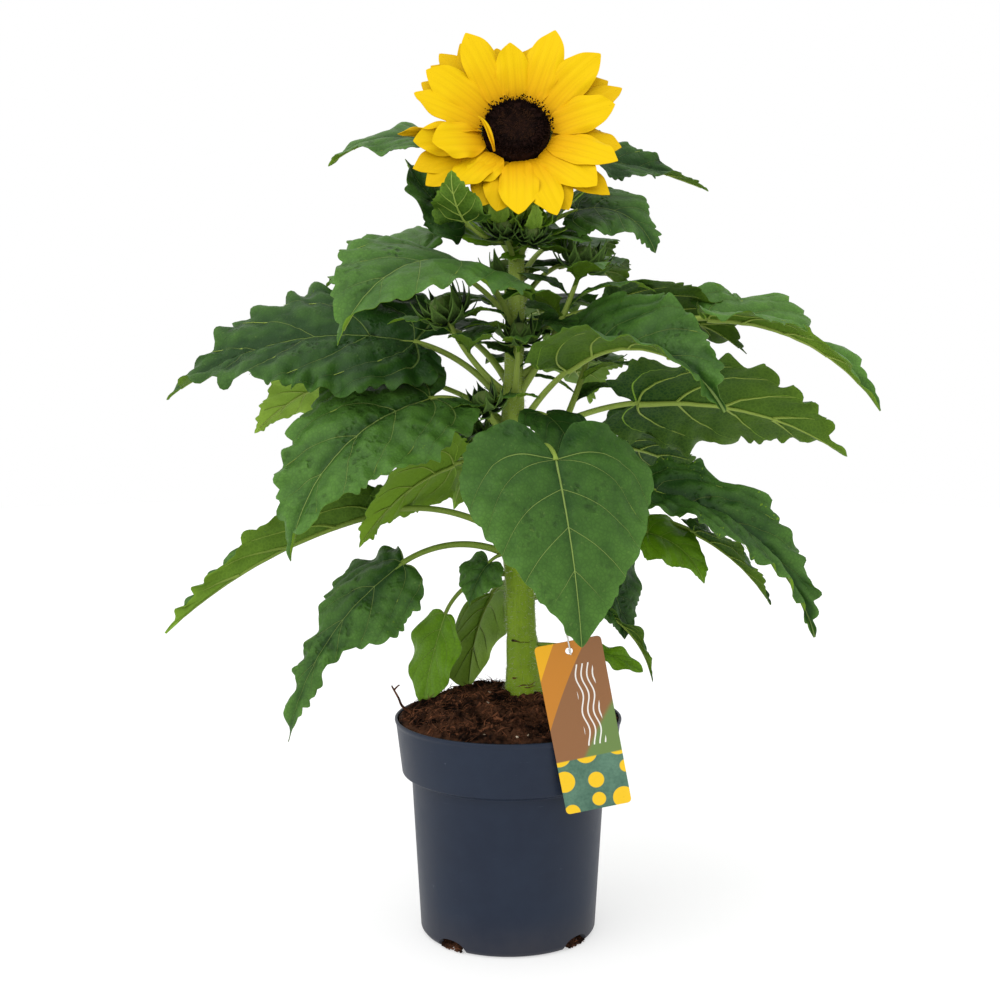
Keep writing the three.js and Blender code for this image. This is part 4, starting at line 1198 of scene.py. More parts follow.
def tidy_mesh(mesh):
    """Merges the doubled points at a sheet's ends."""
    work = bmesh.new()
    work.from_mesh(mesh)
    bmesh.ops.remove_doubles(work, verts=work.verts, dist=2e-6)
    work.to_mesh(mesh)
    work.free()
    return mesh


# The stage: camera, light and floor

def make_camera():
    """Stands in front, a little above the plant's middle."""
    data = bpy.data.cameras.new("camera")
    camera = bpy.data.objects.new("camera", data)
    bpy.context.scene.collection.objects.link(camera)
    data.sensor_width = 36
    data.lens = 58.7
    camera.location = (-0.0061, -1.2, 0.459)
    camera.rotation_euler = (math.radians(83.67), 0, 0)
    bpy.context.scene.camera = camera


def soft_sun(name, place, spread, power):
    """Even light over the whole stage from one side, with wide soft shadows."""
    data = bpy.data.lights.new(name, "SUN")
    data.angle = math.radians(spread)
    data.energy = power
    light = bpy.data.objects.new(name, data)
    light.rotation_euler = (-Vector(place)).to_track_quat("-Z", "Y").to_euler()
    bpy.context.scene.collection.objects.link(light)


FLOOR = dict(radius=3000, drop=0.6, sides=96)


def make_stage():
    """A white world, one soft sun from the left and a round pale floor."""
    scene = bpy.context.scene
    scene.view_settings.view_transform = "Standard"
    world = bpy.data.worlds.new("studio")
    world.use_nodes = True
    world.node_tree.nodes["Background"].inputs["Color"].default_value = (1, 1, 1, 1)
    world.node_tree.nodes["Background"].inputs["Strength"].default_value = 1.0
    scene.world = world
    soft_sun("key", (-0.6, -0.8, 1.0), 70, 1.25)
    turns = turns_of(FLOOR["sides"])
    floor = Shape()
    x, y = FLOOR["radius"] * np.cos(turns), FLOOR["radius"] * np.sin(turns)
    floor.add(np.stack([x, y, 0 * turns - FLOOR["drop"]], -1), [tuple(range(FLOOR["sides"]))])
    piece("floor", floor.mesh("floor"), stage_finish())


# Pot and soil

def turned(profile, segments):
    """A lathe mesh from (radius, height) places that start and end on the axis."""
    shape = Shape()
    profile = np.array(profile, float)
    turns = turns_of(segments)
    inner = profile[1:-1]
    body = np.stack([
        inner[:, :1] * np.cos(turns), inner[:, :1] * np.sin(turns), inner[:, 1:] + 0 * turns,
    ], -1)
    ends = [[0, 0, profile[0, 1]], [0, 0, profile[-1, 1]]]
    shape.add(np.vstack([body.reshape(-1, 3), ends]), pointed_faces(len(inner), segments))
    return shape


CORNER_STEPS = 4


def rounded(profile, radius):
    """A profile with each of its corners turned into a short bend."""
    profile = np.array(profile, float)
    points = [profile[0]]
    for before, corner, after in zip(profile, profile[1:], profile[2:]):
        reach = min(radius, np.linalg.norm(before - corner) / 2.2, np.linalg.norm(after - corner) / 2.2)
        start = corner + unit(before - corner) * reach
        end = corner + unit(after - corner) * reach
        for k in np.linspace(0, 1, CORNER_STEPS):
            points.append(mix(mix(start, corner, k), mix(corner, end, k), k))
    points.append(profile[-1])
    return points


def notch_headings():
    """The headings of the notches in the pot's foot, in radians."""
    count = POT_NOTCH["count"]
    return [math.radians(POT_NOTCH["first"] + 360 / count * i) for i in range(count)]


def notch_cutters():
    """A bar through the pot's wall for each notch, with an arched top."""
    half = POT_NOTCH["width"] / 2
    turns = np.linspace(0, math.pi, 16)
    arch_y, arch_z = half * np.cos(turns), POT_NOTCH["height"] * np.sin(turns) ** 0.75
    outline = np.vstack([np.stack([arch_y, arch_z], -1), [(-half, -4), (half, -4)]])
    shape = Shape()
    for angle in notch_headings():
        rows = []
        for depth in (POT_FOOT_RADIUS - POT_NOTCH["depth"], POT_FOOT_RADIUS + POT_NOTCH["depth"]):
            x = depth * math.cos(angle) - outline[:, 0] * math.sin(angle)
            y = depth * math.sin(angle) + outline[:, 0] * math.cos(angle)
            rows.append(np.stack([x, y, outline[:, 1]], -1))
        shape.add(np.vstack(rows), bar_faces(2, len(outline)))
    return shape


def make_pot(finish):
    """A hollow pot with a band, a lip and notches in its foot, turned and then cut."""
    band = POT_HEIGHT - POT_BAND_HEIGHT
    rim = POT_RIM_RADIUS
    outside = [
        (0, 1.2), (POT_FOOT_RADIUS - 9, 1.2), (POT_FOOT_RADIUS - 8, 0), (POT_FOOT_RADIUS - 2.2, 0),
        (POT_FOOT_RADIUS, 3), (POT_NECK_RADIUS, band - 3), (POT_BAND_FOOT_RADIUS, band),
        (rim - 1.0, POT_HEIGHT - POT_LIP - 2), (rim, POT_HEIGHT - POT_LIP), (rim, POT_HEIGHT),
    ]
    inside = [
        (rim - POT_WALL, POT_HEIGHT), (POT_BAND_FOOT_RADIUS - POT_WALL, band + 3),
        (POT_NECK_RADIUS - POT_WALL, band - 2), (POT_FOOT_RADIUS - POT_WALL, 6),
        (POT_FOOT_RADIUS - 6, POT_WALL), (0, POT_WALL + 0.01),
    ]
    pot = piece("pot_body", turned(rounded(outside + inside, 1.1), 160).mesh("pot_body"))
    cutter = piece("pot_cutter", notch_cutters().mesh("pot_cutter"))
    cut = pot.modifiers.new("Notches", "BOOLEAN")
    cut.object = cutter
    cut.solver = "EXACT"
    depsgraph = bpy.context.evaluated_depsgraph_get()
    mesh = bpy.data.meshes.new_from_object(pot.evaluated_get(depsgraph), depsgraph=depsgraph)
    pot.modifiers.remove(cut)
    pot.data = mesh
    bpy.data.objects.remove(cutter)
    mesh.materials.clear()
    mesh.materials.append(finish)
    mesh.polygons.foreach_set("use_smooth", [True] * len(mesh.polygons))
    mesh.set_sharp_from_angle(angle=math.radians(34))
    hand_over(pot, "pot", "pot")


def soil_height(x, y):
    """A low dome with lumps that die out at its edge."""
    share = np.minimum(np.hypot(x, y) / SOIL_EDGE_RADIUS, 1)
    dome = SOIL_CROWN_RISE * (1 - share**2.2)
    lumps = 1.6 * np.sin(x / 7.3 + 1.1) * np.cos(y / 8.9) + 1.1 * np.sin((x + y) / 4.7)
    return POT_HEIGHT - 1 + dome + lumps * (1 - share**6)


def make_soil(finish, fibre_finish, fleck_finish):
    """The fill down to the pot's floor, and the clods, crumbs and fibres strewn over its top."""
    rings, segments = 64, 200
    radii = SOIL_EDGE_RADIUS * np.linspace(0, 1, rings + 1)[1:]
    turns = turns_of(segments)
    x, y = radii[:, None] * np.cos(turns), radii[:, None] * np.sin(turns)
    z = soil_height(x, y)
    place = np.stack([x, y, 0 * x], -1)
    inward = 1 - (np.hypot(x, y) / SOIL_EDGE_RADIUS) ** 8
    z = z + (2.4 * rough(place, 8.0, 3) + 2.0 * rough(place, 3.2, 8) + 0.8 * rough(place, 1.6, 15)) * inward
    top = np.stack([x, y, z], -1)
    foot = [(POT_BAND_FOOT_RADIUS - POT_WALL - 0.8, 126), (POT_NECK_RADIUS - POT_WALL - 0.5, 120),
            (POT_FOOT_RADIUS - POT_WALL - 0.8, 7), (POT_FOOT_RADIUS - 7, 2.3)]
    below = [np.stack([r * np.cos(turns), r * np.sin(turns), h + 0 * turns], -1) for r, h in foot]
    body = np.concatenate([top, np.array(below)])
    middle = float(soil_height(np.array(0.0), np.array(0.0)))
    shape = Shape()
    ends = [[0, 0, middle], [0, 0, foot[-1][1]]]
    shape.add(np.vstack([body.reshape(-1, 3), ends]), pointed_faces(len(body), segments, flip=True))
    hand_over(piece("soil_body", shape.mesh("soil_body"), finish), "soil", "soil")

    # All but the outermost rings, so that little reaches the pot
    cover = Shape()
    cover.add(top[:-3], grid_faces(len(top) - 3, segments, around=True, flip=True))
    # The item, how many to a square metre, its least and most lean, its least and most size, and its finish
    strewn = [
        ("soil_clods", crumb_item("clod", 3.2, 8), 14000, 0.0, 1.5, 0.5, 1.3, finish),
        ("soil_crumbs", crumb_item("crumb", 1.8, 1), 110000, 0.0, 1.5, 0.35, 1.4, finish),
        ("soil_grains", crumb_item("grain", 0.9, 2), 190000, 0.0, 1.5, 0.5, 1.6, finish),
        ("soil_fibres", needle_item("fibre", 9, 0.4, 1.8, 3, 5), 170000, 1.25, 1.8, 0.3, 1.15, fibre_finish),
        ("soil_bark", needle_item("chip", 6, 1.3, 0.6, 5, 4), 14000, 1.3, 1.8, 0.4, 1.2, fibre_finish),
        ("soil_flecks", crumb_item("fleck", 1.5, 5), 1400, 0.0, 1.5, 0.3, 1.2, fleck_finish),
    ]
    for number, (name, *sizes, look) in enumerate(strewn):
        grown = strew(name, cover.mesh(name + "_ground"), *sizes, number + 4, look)
        keep_inside_pot(grown.data)
        hand_over(grown, "soil", "soil")


def make_twig(finish):
    """A short twig that lies over the rim at the left and turns up."""
    bends = [(-72, -12, 168), (-79, -8, 172), (-82, -6, 178), (-86, -5, 185), (-87, -5, 187)]
    shape = Shape()
    tube(shape, spline(bends, np.linspace(0, 1, 20)), np.linspace(1.2, 0.5, 20), 7)
    fork = [(-85, -5, 184), (-82, -5, 187), (-81, -5, 187)]
    tube(shape, spline(fork, np.linspace(0, 1, 10)), np.linspace(0.8, 0.4, 10), 6)
    hand_over(piece("soil_twig", shape.mesh("soil_twig"), finish), "soil", "soil")


def make_foot_crumbs(finish, fibre_finish):
    """Peat that has come out at the notches in the pot's foot."""
    cover = Shape()
    for middle in notch_headings():
        turns = middle + np.linspace(-0.15, 0.15, 9)[None, :]
        reach = POT_FOOT_RADIUS + np.array([-0.5, -1.5, -4.0, -8.0])[:, None]
        height = np.array([1.0, 2.2, 4.0, 5.5])[:, None] + 0 * turns
        rows = np.stack([reach * np.cos(turns), reach * np.sin(turns), height], -1)
        cover.add(rows.reshape(-1, 3), grid_faces(4, 9))
    strewn = [
        ("foot_crumbs", crumb_item("foot_crumb", 1.5, 11), 900000, 0.0, finish),
        ("foot_fibres", needle_item("foot_fibre", 6, 0.35, 1.4, 3, 4), 200000, 1.2, fibre_finish),
    ]
    for number, (name, *sizes, look) in enumerate(strewn):
        grown = strew(name, cover.mesh(name + "_ground"), *sizes, 1.6, 0.4, 1.3, number + 21, look)
        keep_inside_pot(grown.data, POT_FOOT_RADIUS, 0)
        hand_over(grown, "soil", "soil")


def keep_inside_pot(mesh, radius=SOIL_EDGE_RADIUS + 0.6, floor=150):
    """Draws anything that reaches past the radius or below the floor back to it."""
    places = places_of(mesh)
    reach = np.hypot(places[:, 0], places[:, 1])
    places[:, :2] *= np.minimum(1, radius * MM / np.maximum(reach, 1e-9))[:, None]
    places[:, 2] = np.maximum(places[:, 2], floor * MM)
    mesh.vertices.foreach_set("co", places.ravel())


# Stem

# Old leaf scars round the stem: height and depth
SCARS = [(183, 0.6), (190, 0.5), (201, 0.4), (225, 0.9), (228.5, 0.6), (262, 0.5)]
# Brown cracks on the stem's front: height, first and last heading, how far it strays, and its thickness
CRACKS = [
    (221, 224, 262, 0.5, 0.75), (221.8, 256, 318, 0.7, 0.16), (190.5, 238, 316, 1.2, 0.40),
    (187.5, 270, 310, 0.8, 0.26), (193.5, 230, 250, 0.4, 0.55),
]
CRACK_STEPS = 26
STEM_ROWS = 150
NECK_ROWS = 26
NECK_FROM = 10 / 14
STEM_SIDES = 40


def make_cracks(line, turns, reach, finish):
    """Thin seams that lie on the stem's skin and follow part of a ring round it."""
    shape = Shape()
    for number, (height, first, last, stray, thick) in enumerate(CRACKS):
        row = np.argmin(np.abs(line[:, 2] - height))
        heading = np.radians(np.linspace(first, last, CRACK_STEPS))
        radius = np.interp(heading, turns, reach[row]) + 0.05
        side = np.stack([np.cos(heading), np.sin(heading), 0 * heading], -1)
        points = line[row] + side * radius[:, None]
        points[:, 2] += stray * np.sin(2.1 * heading + number) + 0.4 * stray * np.sin(9.3 * heading + number)
        tube(shape, points, 0.12 + thick * np.sin(math.pi * np.linspace(0, 1, CRACK_STEPS) ** 0.6), 5)
    hand_over(piece("stem_cracks", shape.mesh("stem_cracks"), finish), "stem")


def make_stem(finish, hair_finish, crack_finish):
    """The stem and its neck: ribbed, swollen where leaves and shoots leave it, scarred, cracked and hairy."""
    line = np.vstack([stem_line(np.linspace(0, 1, STEM_ROWS)), neck_line(np.linspace(0, 1, NECK_ROWS))[1:]])
    share = np.concatenate([np.linspace(0, NECK_FROM, STEM_ROWS), np.linspace(NECK_FROM, 1, NECK_ROWS)[1:]])
    along = unit(np.gradient(line, axis=0))
    side = unit(np.array([1.0, 0, 0]) - along * along[:, :1])
    turns = turns_of(STEM_SIDES)
    ring = section_ring(side, np.cross(along, side), turns)
    ribs = 0.28 * np.sin(turns * 9 + 0.8 * np.sin(turns * 2))[None] + 0.14 * np.sin(turns * 17 + 2)[None]
    swell = np.zeros((len(line), STEM_SIDES))
    for leaf in LEAVES + SHOOTS:
        heading = math.radians(leaf["heading"])
        facing = ring[..., 0] * math.cos(heading) + ring[..., 1] * math.sin(heading)
        near = np.exp(-((line[:, 2:] - leaf["at"]) / 6.5) ** 2)
        swell += 0.55 * near * (0.35 + np.clip(facing, 0, 1) ** 2)
    slim = 1 - 0.22 * smooth_step(0.25, 0.6, share)
    reach = (stem_radius(share) * slim - 0.5)[:, None] + ribs + np.minimum(swell, 1.1)
    reach = reach + 0.25 * rough(line[:, None] + ring * reach[..., None], 9.0, 2)
    for height, depth in SCARS:
        reach -= depth * np.exp(-((line[:, 2:] - height) / 1.1) ** 2)
    shape = Shape()
    shape.add(line[:, None] + ring * reach[..., None], bar_faces(len(line), STEM_SIDES))
    mesh = shape.mesh("stem_body")
    hand_over(piece("stem_body", mesh, finish), "stem", "stem")
    make_cracks(line, turns, reach, crack_finish)
    hairs = grow("stem_hairs", SCATTER, {
        "Item": needle_item("hair", 2.6, 0.09, 0.5), "Density": 200000.0, "Lean": 0.6, "Smallest": 0.5,
        "Largest": 1.3, "Seed": 3, "Finish": hair_finish,
    }, mesh.copy())
    hand_over(hairs, "stem")


# Leaves and shoots: each leaf is a row of these columns and of what differs from the defaults

LEAF_COLUMNS = ("name", "at", "heading", "petiole", "rise", "level", "blade", "width", "droop")
LEAVES = [
    ("leaf_low_right", 217, 10, 52, 4, -12, 44, 32, -36, dict(tilt=30, young=True)),
    ("leaf_low_back", 262, 108, 46, 10, -45, 90, 72, -88, dict(tilt=-20, young=True)),
    ("leaf_low_tail", 251, 15, 78, 10, -38, 62, 30, -80, dict(fold=45)),
    ("leaf_low_front_left", 270, 208, 52, 25, -50, 80, 42, -86, dict(tilt=-40, young=True)),
    ("leaf_low_left", 281, 195, 94, 32, -34, 158, 82, -80, dict(tilt=-40, fold=-6, lobe=0.6)),
    ("leaf_low_bud", 285, 160, 26, 20, -25, 46, 36, -60, dict(tilt=-30)),
    ("leaf_low_far_left", 292, 187, 114, 40, -16, 176, 76, -44, dict(tilt=6, fold=62, cup=10)),
    ("leaf_right_dark", 290, 32, 66, 20, -45, 74, 58, -88, dict(tilt=20)),
    ("leaf_right_small", 281, 20, 108, 20, -10, 58, 54, -52, dict(tilt=-30, young=True)),
    ("leaf_right_thin", 296, 12, 138, 25, -12, 96, 46, -80, dict(fold=50)),
    ("leaf_right_low", 303, 345, 112, 35, -8, 164, 80, -78, dict(tilt=34)),
    ("leaf_front", 296, 274, 150, 48, -58, 128, 136, -80,
     dict(fold=6, cup=24, crook=4, swing=16, lobe=1.8)),
    ("leaf_back_low", 300, 80, 100, 35, -10, 150, 104, -70, {}),
    ("leaf_back_low_left", 325, 104, 92, 40, 0, 145, 104, -55, {}),
    ("leaf_left_under", 341, 200, 52, 45, -18, 94, 84, -62, dict(tilt=42)),
    ("leaf_left_front", 352, 208, 100, 53, -6, 152, 112, -84, dict(tilt=-26)),
    ("leaf_right_mid_low", 344, 38, 112, 24, -8, 96, 48, -44, dict(tilt=-30)),
    ("leaf_right_mid", 363, 12, 102, 34, 4, 178, 112, -34, dict(tilt=-42)),
    ("leaf_right_front", 370, 320, 66, 58, 32, 156, 104, -50, dict(fold=44, cup=20, tilt=8)),
    ("leaf_centre_small", 352, 270, 26, 30, 0, 62, 36, -84, {}),
    ("leaf_left_light", 378, 165, 142, 35, 0, 86, 74, -44, dict(tilt=24, young=True)),
    ("leaf_back_right", 386, 72, 92, 45, 8, 155, 108, -42, {}),
    ("leaf_left_far", 385, 178, 96, 62, 12, 196, 134, -40, dict(tilt=-34)),
    ("leaf_back_left", 405, 128, 88, 50, 12, 150, 104, -34, {}),
    ("leaf_right_far", 414, 2, 152, 42, 2, 162, 76, -58, dict(tilt=16, fold=34)),
    ("leaf_centre_upper", 457, 336, 18, 8, 0, 46, 32, -30, dict(tilt=20)),
    ("leaf_back", 428, 82, 82, 55, 10, 150, 106, -38, {}),
    ("leaf_top_left_front", 440, 232, 64, 78, 24, 170, 134, -62, dict(tilt=-20, lobe=1.5)),
    ("leaf_right_upper", 440, 16, 84, 36, 2, 116, 84, -40, dict(tilt=-30)),
    ("leaf_back_upper_left", 452, 152, 118, 52, 8, 98, 98, -36, dict(tilt=-30)),
    ("leaf_back_upper_right", 462, 56, 72, 50, 12, 106, 80, -36, {}),
    ("leaf_back_top", 478, 60, 62, 56, 14, 112, 74, -24, {}),
    ("leaf_back_top_left", 494, 118, 58, 52, 16, 100, 66, -24, {}),
    ("leaf_top_right_mid", 509, 346, 54, 48, 14, 72, 64, -76, dict(tilt=36)),
    ("leaf_bract_left", 516, 190, 40, 4, 30, 64, 40, 66, dict(tilt=-30, lobe=0.3)),
    ("leaf_bract_front", 519, 222, 34, 0, 40, 46, 42, 76, dict(lobe=0.3)),
    ("leaf_bract_right", 522, 322, 10, 10, 12, 58, 34, 24, dict(tilt=20, lobe=0.3)),
    ("leaf_top_right", 527, 25, 100, 71, 18, 110, 50, -56, dict(tilt=12, fold=26, lobe=0.4)),
    ("leaf_top_left", 532, 160, 96, 62, 14, 84, 48, -32, dict(tilt=-12, lobe=0.4)),
]
LEAVES = [{**LEAF_DEFAULTS, **dict(zip(LEAF_COLUMNS, row)), **row[9]} for row in LEAVES]

# The usual look of a leaf 140 mm long, and what differs from it and from the solid's leaf
LEAF_LOOK = dict(depth=2.2, lobing=0.7, puff=1.2, frill=2.4, sway=4.0, tail=40, margin=0.3)
# The tones here paint light and shade as well as colour: each leaf is made lighter or darker for how it is
# lit where it hangs.
LEAF_LOOKS = {
    "leaf_front": dict(
        depth=1.3, tooth=12, lobing=0.3, puff=0.9, frill=1.6, sway=5, tone=0.57, veined=0.6, tail=0,
        contrast=0.6, folded=0.8, outline=FRONT_OUTLINE,
    ),
    "leaf_left_far": dict(depth=4.4, tooth=12, lobing=1.8, puff=1.8, frill=4, tone=0.15, veined=0.4),
    "leaf_low_left": dict(
        depth=2.8, tooth=10, puff=1.5, frill=3, tone=0.5, veined=0.4, petiole=93, width=74,
        outline=TAILED_OUTLINE, tail=24,
    ),
    "leaf_low_far_left": dict(
        depth=3.4, tooth=11, puff=1.2, frill=2.6, tone=0.5, tone_under=0.35, width=48, fold=66
    ),
    "leaf_low_front_left": dict(
        depth=0.3, tooth=12, lobing=0.2, puff=0.7, frill=2.2, sway=8, tone=1.5, tone_under=0.9,
        heading=170, petiole=70, rise=8, level=-71, blade=72, width=44, droop=-82, tilt=-62,
        outline=OVAL_OUTLINE, tail=0, veined=0.8,
    ),
    "leaf_low_back": dict(
        depth=0.3, tooth=12, lobing=0.2, puff=0.7, frill=1.6, sway=3, tone=1.2, tone_under=0.4,
        heading=120, blade=92, width=76, outline=OVAL_OUTLINE, tail=0, veined=0.6,
    ),
    "leaf_low_right": dict(
        depth=0.3, tooth=12, lobing=0.2, puff=0.6, frill=1, tone=1.1, tone_under=0.8,
        outline=OVAL_OUTLINE, tail=0, blade=42, width=18, heading=356, level=-12, droop=-34, tilt=40,
    ),
    "leaf_left_front": dict(
        depth=3.4, tooth=11, lobing=1.2, puff=1.8, frill=3, tone=0.75, veined=0.5, lobe=1.2, petiole=94,
        width=118, rise=78, level=-10, blade=166,
    ),
    "leaf_left_light": dict(
        tone=1.4, tone_under=1, rise=40, level=-12, droop=-50, tilt=34, width=64, veined=0.5,
    ),
    "leaf_left_under": dict(tone_under=1),
    "leaf_right_front": dict(
        depth=2.6, puff=1.4, frill=2.8, tone=0.4, tone_under=0.3, veined=0.4, width=100, lobe=0.2, tilt=20,
        petiole=73, blade=151, fold=38, cup=12, level=34, droop=-60,
    ),
    "leaf_right_far": dict(
        depth=5.2, tooth=13, lobing=3.4, puff=1.3, frill=4.2, frill_length=52, tone=1, tone_under=0.6,
        veined=0.4, width=76, rise=34, level=0, blade=154, outline=TAILED_OUTLINE,
    ),
    "leaf_right_low": dict(
        depth=3, tooth=10, lobing=1, puff=1.8, frill=2.8, tone=0.35, tone_under=0.7, width=66, tilt=26,
        fold=26, rise=40,
    ),
    "leaf_right_mid": dict(depth=3.4, tooth=11, lobing=1.2, frill=4.2, tone=0.5, tone_under=0, width=104),
    "leaf_right_upper": dict(depth=3.6, tooth=10, lobing=1.4, frill=3.4, tone=0.3, tone_under=0.1),
    "leaf_right_mid_low": dict(depth=3, tone_under=-0.2),
    "leaf_right_small": dict(
        heading=350, petiole=102, rise=36, level=-12, droop=-74, tilt=24, width=62, depth=1.2, tone=1.7,
        tone_under=1.6, veined=0.8,
    ),
    "leaf_right_thin": dict(
        heading=2, rise=30, level=-28, droop=-60, blade=82, width=40, fold=36, tone=0.2, tone_under=0
    ),
    "leaf_top_left_front": dict(
        depth=2.2, puff=1.1, frill=2.6, tone=0.65, veined=0.5, tail=60, contrast=0.8, heading=231, width=122,
        lobe=1.3, blade=165, tilt=-16, petiole=70, level=20,
    ),
    "leaf_low_tail": dict(width=15, tone=0.2, tone_under=0.1, depth=0.8),
    "leaf_right_dark": dict(
        tone=0.15, tone_under=0.1, depth=2.6, heading=18, petiole=78, rise=22, level=-58, blade=58, width=60,
        tilt=66,
    ),
    "leaf_low_bud": dict(heading=205, level=-46, droop=-84, tone=0.6, blade=36, width=38),
    "leaf_centre_small": dict(
        at=384, heading=303, petiole=44, level=-14, droop=-90, blade=66, width=54, tone=0.1
    ),
    "leaf_bract_left": dict(
        depth=4.5, tooth=14, lobing=2, tone=0.15, tone_under=0.1, width=40, tilt=-64, tail=50
    ),
    "leaf_bract_front": dict(
        depth=3.6, tooth=8, lobing=1.2, tone=0.55, tone_under=0.1, heading=240, petiole=74, rise=-18,
        level=32, droop=92, blade=40, width=44,
    ),
    "leaf_bract_right": dict(depth=2, tone=0.8, tone_under=0.9, rise=0, level=-2, droop=-14, width=42),
    "leaf_top_right": dict(
        depth=2, tone=0.15, tone_under=0.2, level=0, droop=-22, width=48, tilt=44, tail=-50, tail_from=0.45,
        outline=TAILED_OUTLINE, petiole=86, blade=102,
    ),
    "leaf_top_right_mid": dict(depth=3.6, tooth=11, lobing=1.2, tone=0.45, tone_under=0.6, veined=0.5),
    "leaf_top_left": dict(depth=1.6, tone=0.8, width=60, tilt=-24, droop=-40),
    "leaf_back_upper_left": dict(
        depth=3.4, tooth=10, lobing=1.4, tone=1, tone_under=0.9, petiole=104, rise=54, level=6, blade=84,
        width=104,
    ),
}
LEAF_KEYS = [*LEAF_DEFAULTS, *LEAF_COLUMNS]
LEAF_CREASE = 70


def make_leaf(leaf, number, finishes):
    """A leaf's blade, stalk and veins. Smaller leaves have finer teeth and lower puckers."""
    tone = 0.3 + 0.4 * (number * 0.618 % 1)
    given = {**LEAF_LOOK, "tone": tone, "seed": seed_of(leaf["name"]), **LEAF_LOOKS.get(leaf["name"], {})}
    look = look_of(**given)
    size = min(leaf["blade"] / 140, 1.1)
    for key in ("frill", "sway", "depth", "lobing", "puff"):
        look[key] *= size
    look["tooth"] *= max(size, 0.6)
    leaf = {**leaf, **{key: look[key] for key in LEAF_KEYS if key in look}}
    stalk, rib = leaf_path(leaf, stem_point_at(leaf["at"]))
    shape = Shape()
    blade_sheet(shape, leaf, rib, look)
    stalk_tube(shape, leaf, stalk)
    vein_cords(shape, leaf, rib, look)
    mesh = tidy_mesh(shape.mesh(leaf["name"]))
    finish = finishes["young" if leaf["young"] else "grown"]
    obj = piece(leaf["name"] + "_form", mesh, finish, finishes["stalk"], sharp=LEAF_CREASE)
    hand_over(obj, "young_leaf" if leaf["young"] else "leaf", leaf["name"])


# Each shoot is a stalk like a leaf's. leaves is how many leaves it has, each about as long as leaf says,
# from the share start of its length up, the first turned by turn. bud and radius are radii.
SHOOT_COLUMNS = ("name", "at", "heading", "petiole", "rise", "level")
SHOOT_DEFAULTS = dict(leaves=5, leaf=42, bud=11, radius=3.4, start=0.5, turn=0)
SHOOTS = [
    ("shoot_left", 401, 204, 88, 34, 68, dict(bud=12, turn=70)),
    ("shoot_front_left", 366, 226, 48, 35, 62, dict(leaves=2, leaf=34, bud=9)),
    ("shoot_front_right", 392, 280, 64, 58, 76, dict(leaf=40, bud=9, turn=80)),
    ("shoot_right", 398, 346, 120, 54, 74, dict(leaf=54, turn=110, leaves=7)),
    ("shoot_right_back", 318, 44, 150, 44, 70, dict(leaf=46, radius=4.2, start=0.6)),
    ("shoot_back", 410, 98, 96, 56, 76, dict(leaf=44, bud=10, turn=70, leaves=2)),
    ("shoot_back_left", 302, 150, 84, 50, 76, dict(leaf=44, bud=10, turn=60)),
]
SHOOTS = [{**LEAF_DEFAULTS, **SHOOT_DEFAULTS, **dict(zip(SHOOT_COLUMNS, row)), **row[6]} for row in SHOOTS]


def stalk_to(line, height):
    """The stations along the stalk of a shoot or a bud, which leaves the stem at this height."""
    return leaf_path({**line, "blade": 1, "droop": line["level"]}, stem_point_at(height))[0]


def make_shoot(shoot, number, finishes):
    """A side shoot with a spiral of small leaves and a closed bud at its end."""
    stalk = stalk_to(shoot, shoot["at"])
    k = np.linspace(0, 1, 40)
    shape = Shape()
    thick = shoot["radius"] * 0.8
    radii = thick * (1 - 0.4 * k) * (1 + 0.4 * np.exp(-k * shoot["petiole"] / 8))
    tube_on(shape, between(stalk, k), radii, ROUND_SECTION)
    for i in range(shoot["leaves"]):
        share = mix(shoot["start"], 0.97, (i + 0.5) / shoot["leaves"])
        size = shoot["leaf"] * mix(1.15, 0.75, i / shoot["leaves"])
        heading = shoot["heading"] + shoot["turn"] + GOLDEN_ANGLE * i
        small = small_leaf(heading, 42, -25, size * 1.3, size * 0.6, petiole=0, ruffle=1)
        look = look_of(
            seed=11 * number + i, tooth=6.5, depth=1.3, lobing=0.5, puff=0.6, frill=1.2, sway=1.6, cell=2.4,
            tone=0.6 + 0.25 * (i % 3), outline=SMALL_OUTLINE,
        )
        small_blade(shape, small, between(stalk, np.array(share))[0], look)
    mesh = tidy_mesh(shape.mesh(shoot["name"]))
    obj = piece(shoot["name"] + "_form", mesh, finishes["grown"], finishes["stalk"], sharp=LEAF_CREASE)
    hand_over(obj, "shoot", shoot["name"])
    end = between(stalk, np.array(1.0))
    make_bud(shoot["name"] + "_bud", end, shoot["bud"], number, finishes["bud"], shoot["name"])


# Rings of a closed bud's bracts, in shares of its radius: count, bract length, width, where it leaves
# the axis, the ring's height, and its first and last elevation
BUD_RINGS = [
    (6, 1.75, 1.15, 0.2, -0.6, 20, 140),
    (7, 2.15, 1.0, 0.5, -0.7, 38, 98),
    (8, 2.3, 0.95, 0.6, -0.85, 18, 84),
    (6, 2.2, 0.85, 0.5, -0.95, -10, 64),
]


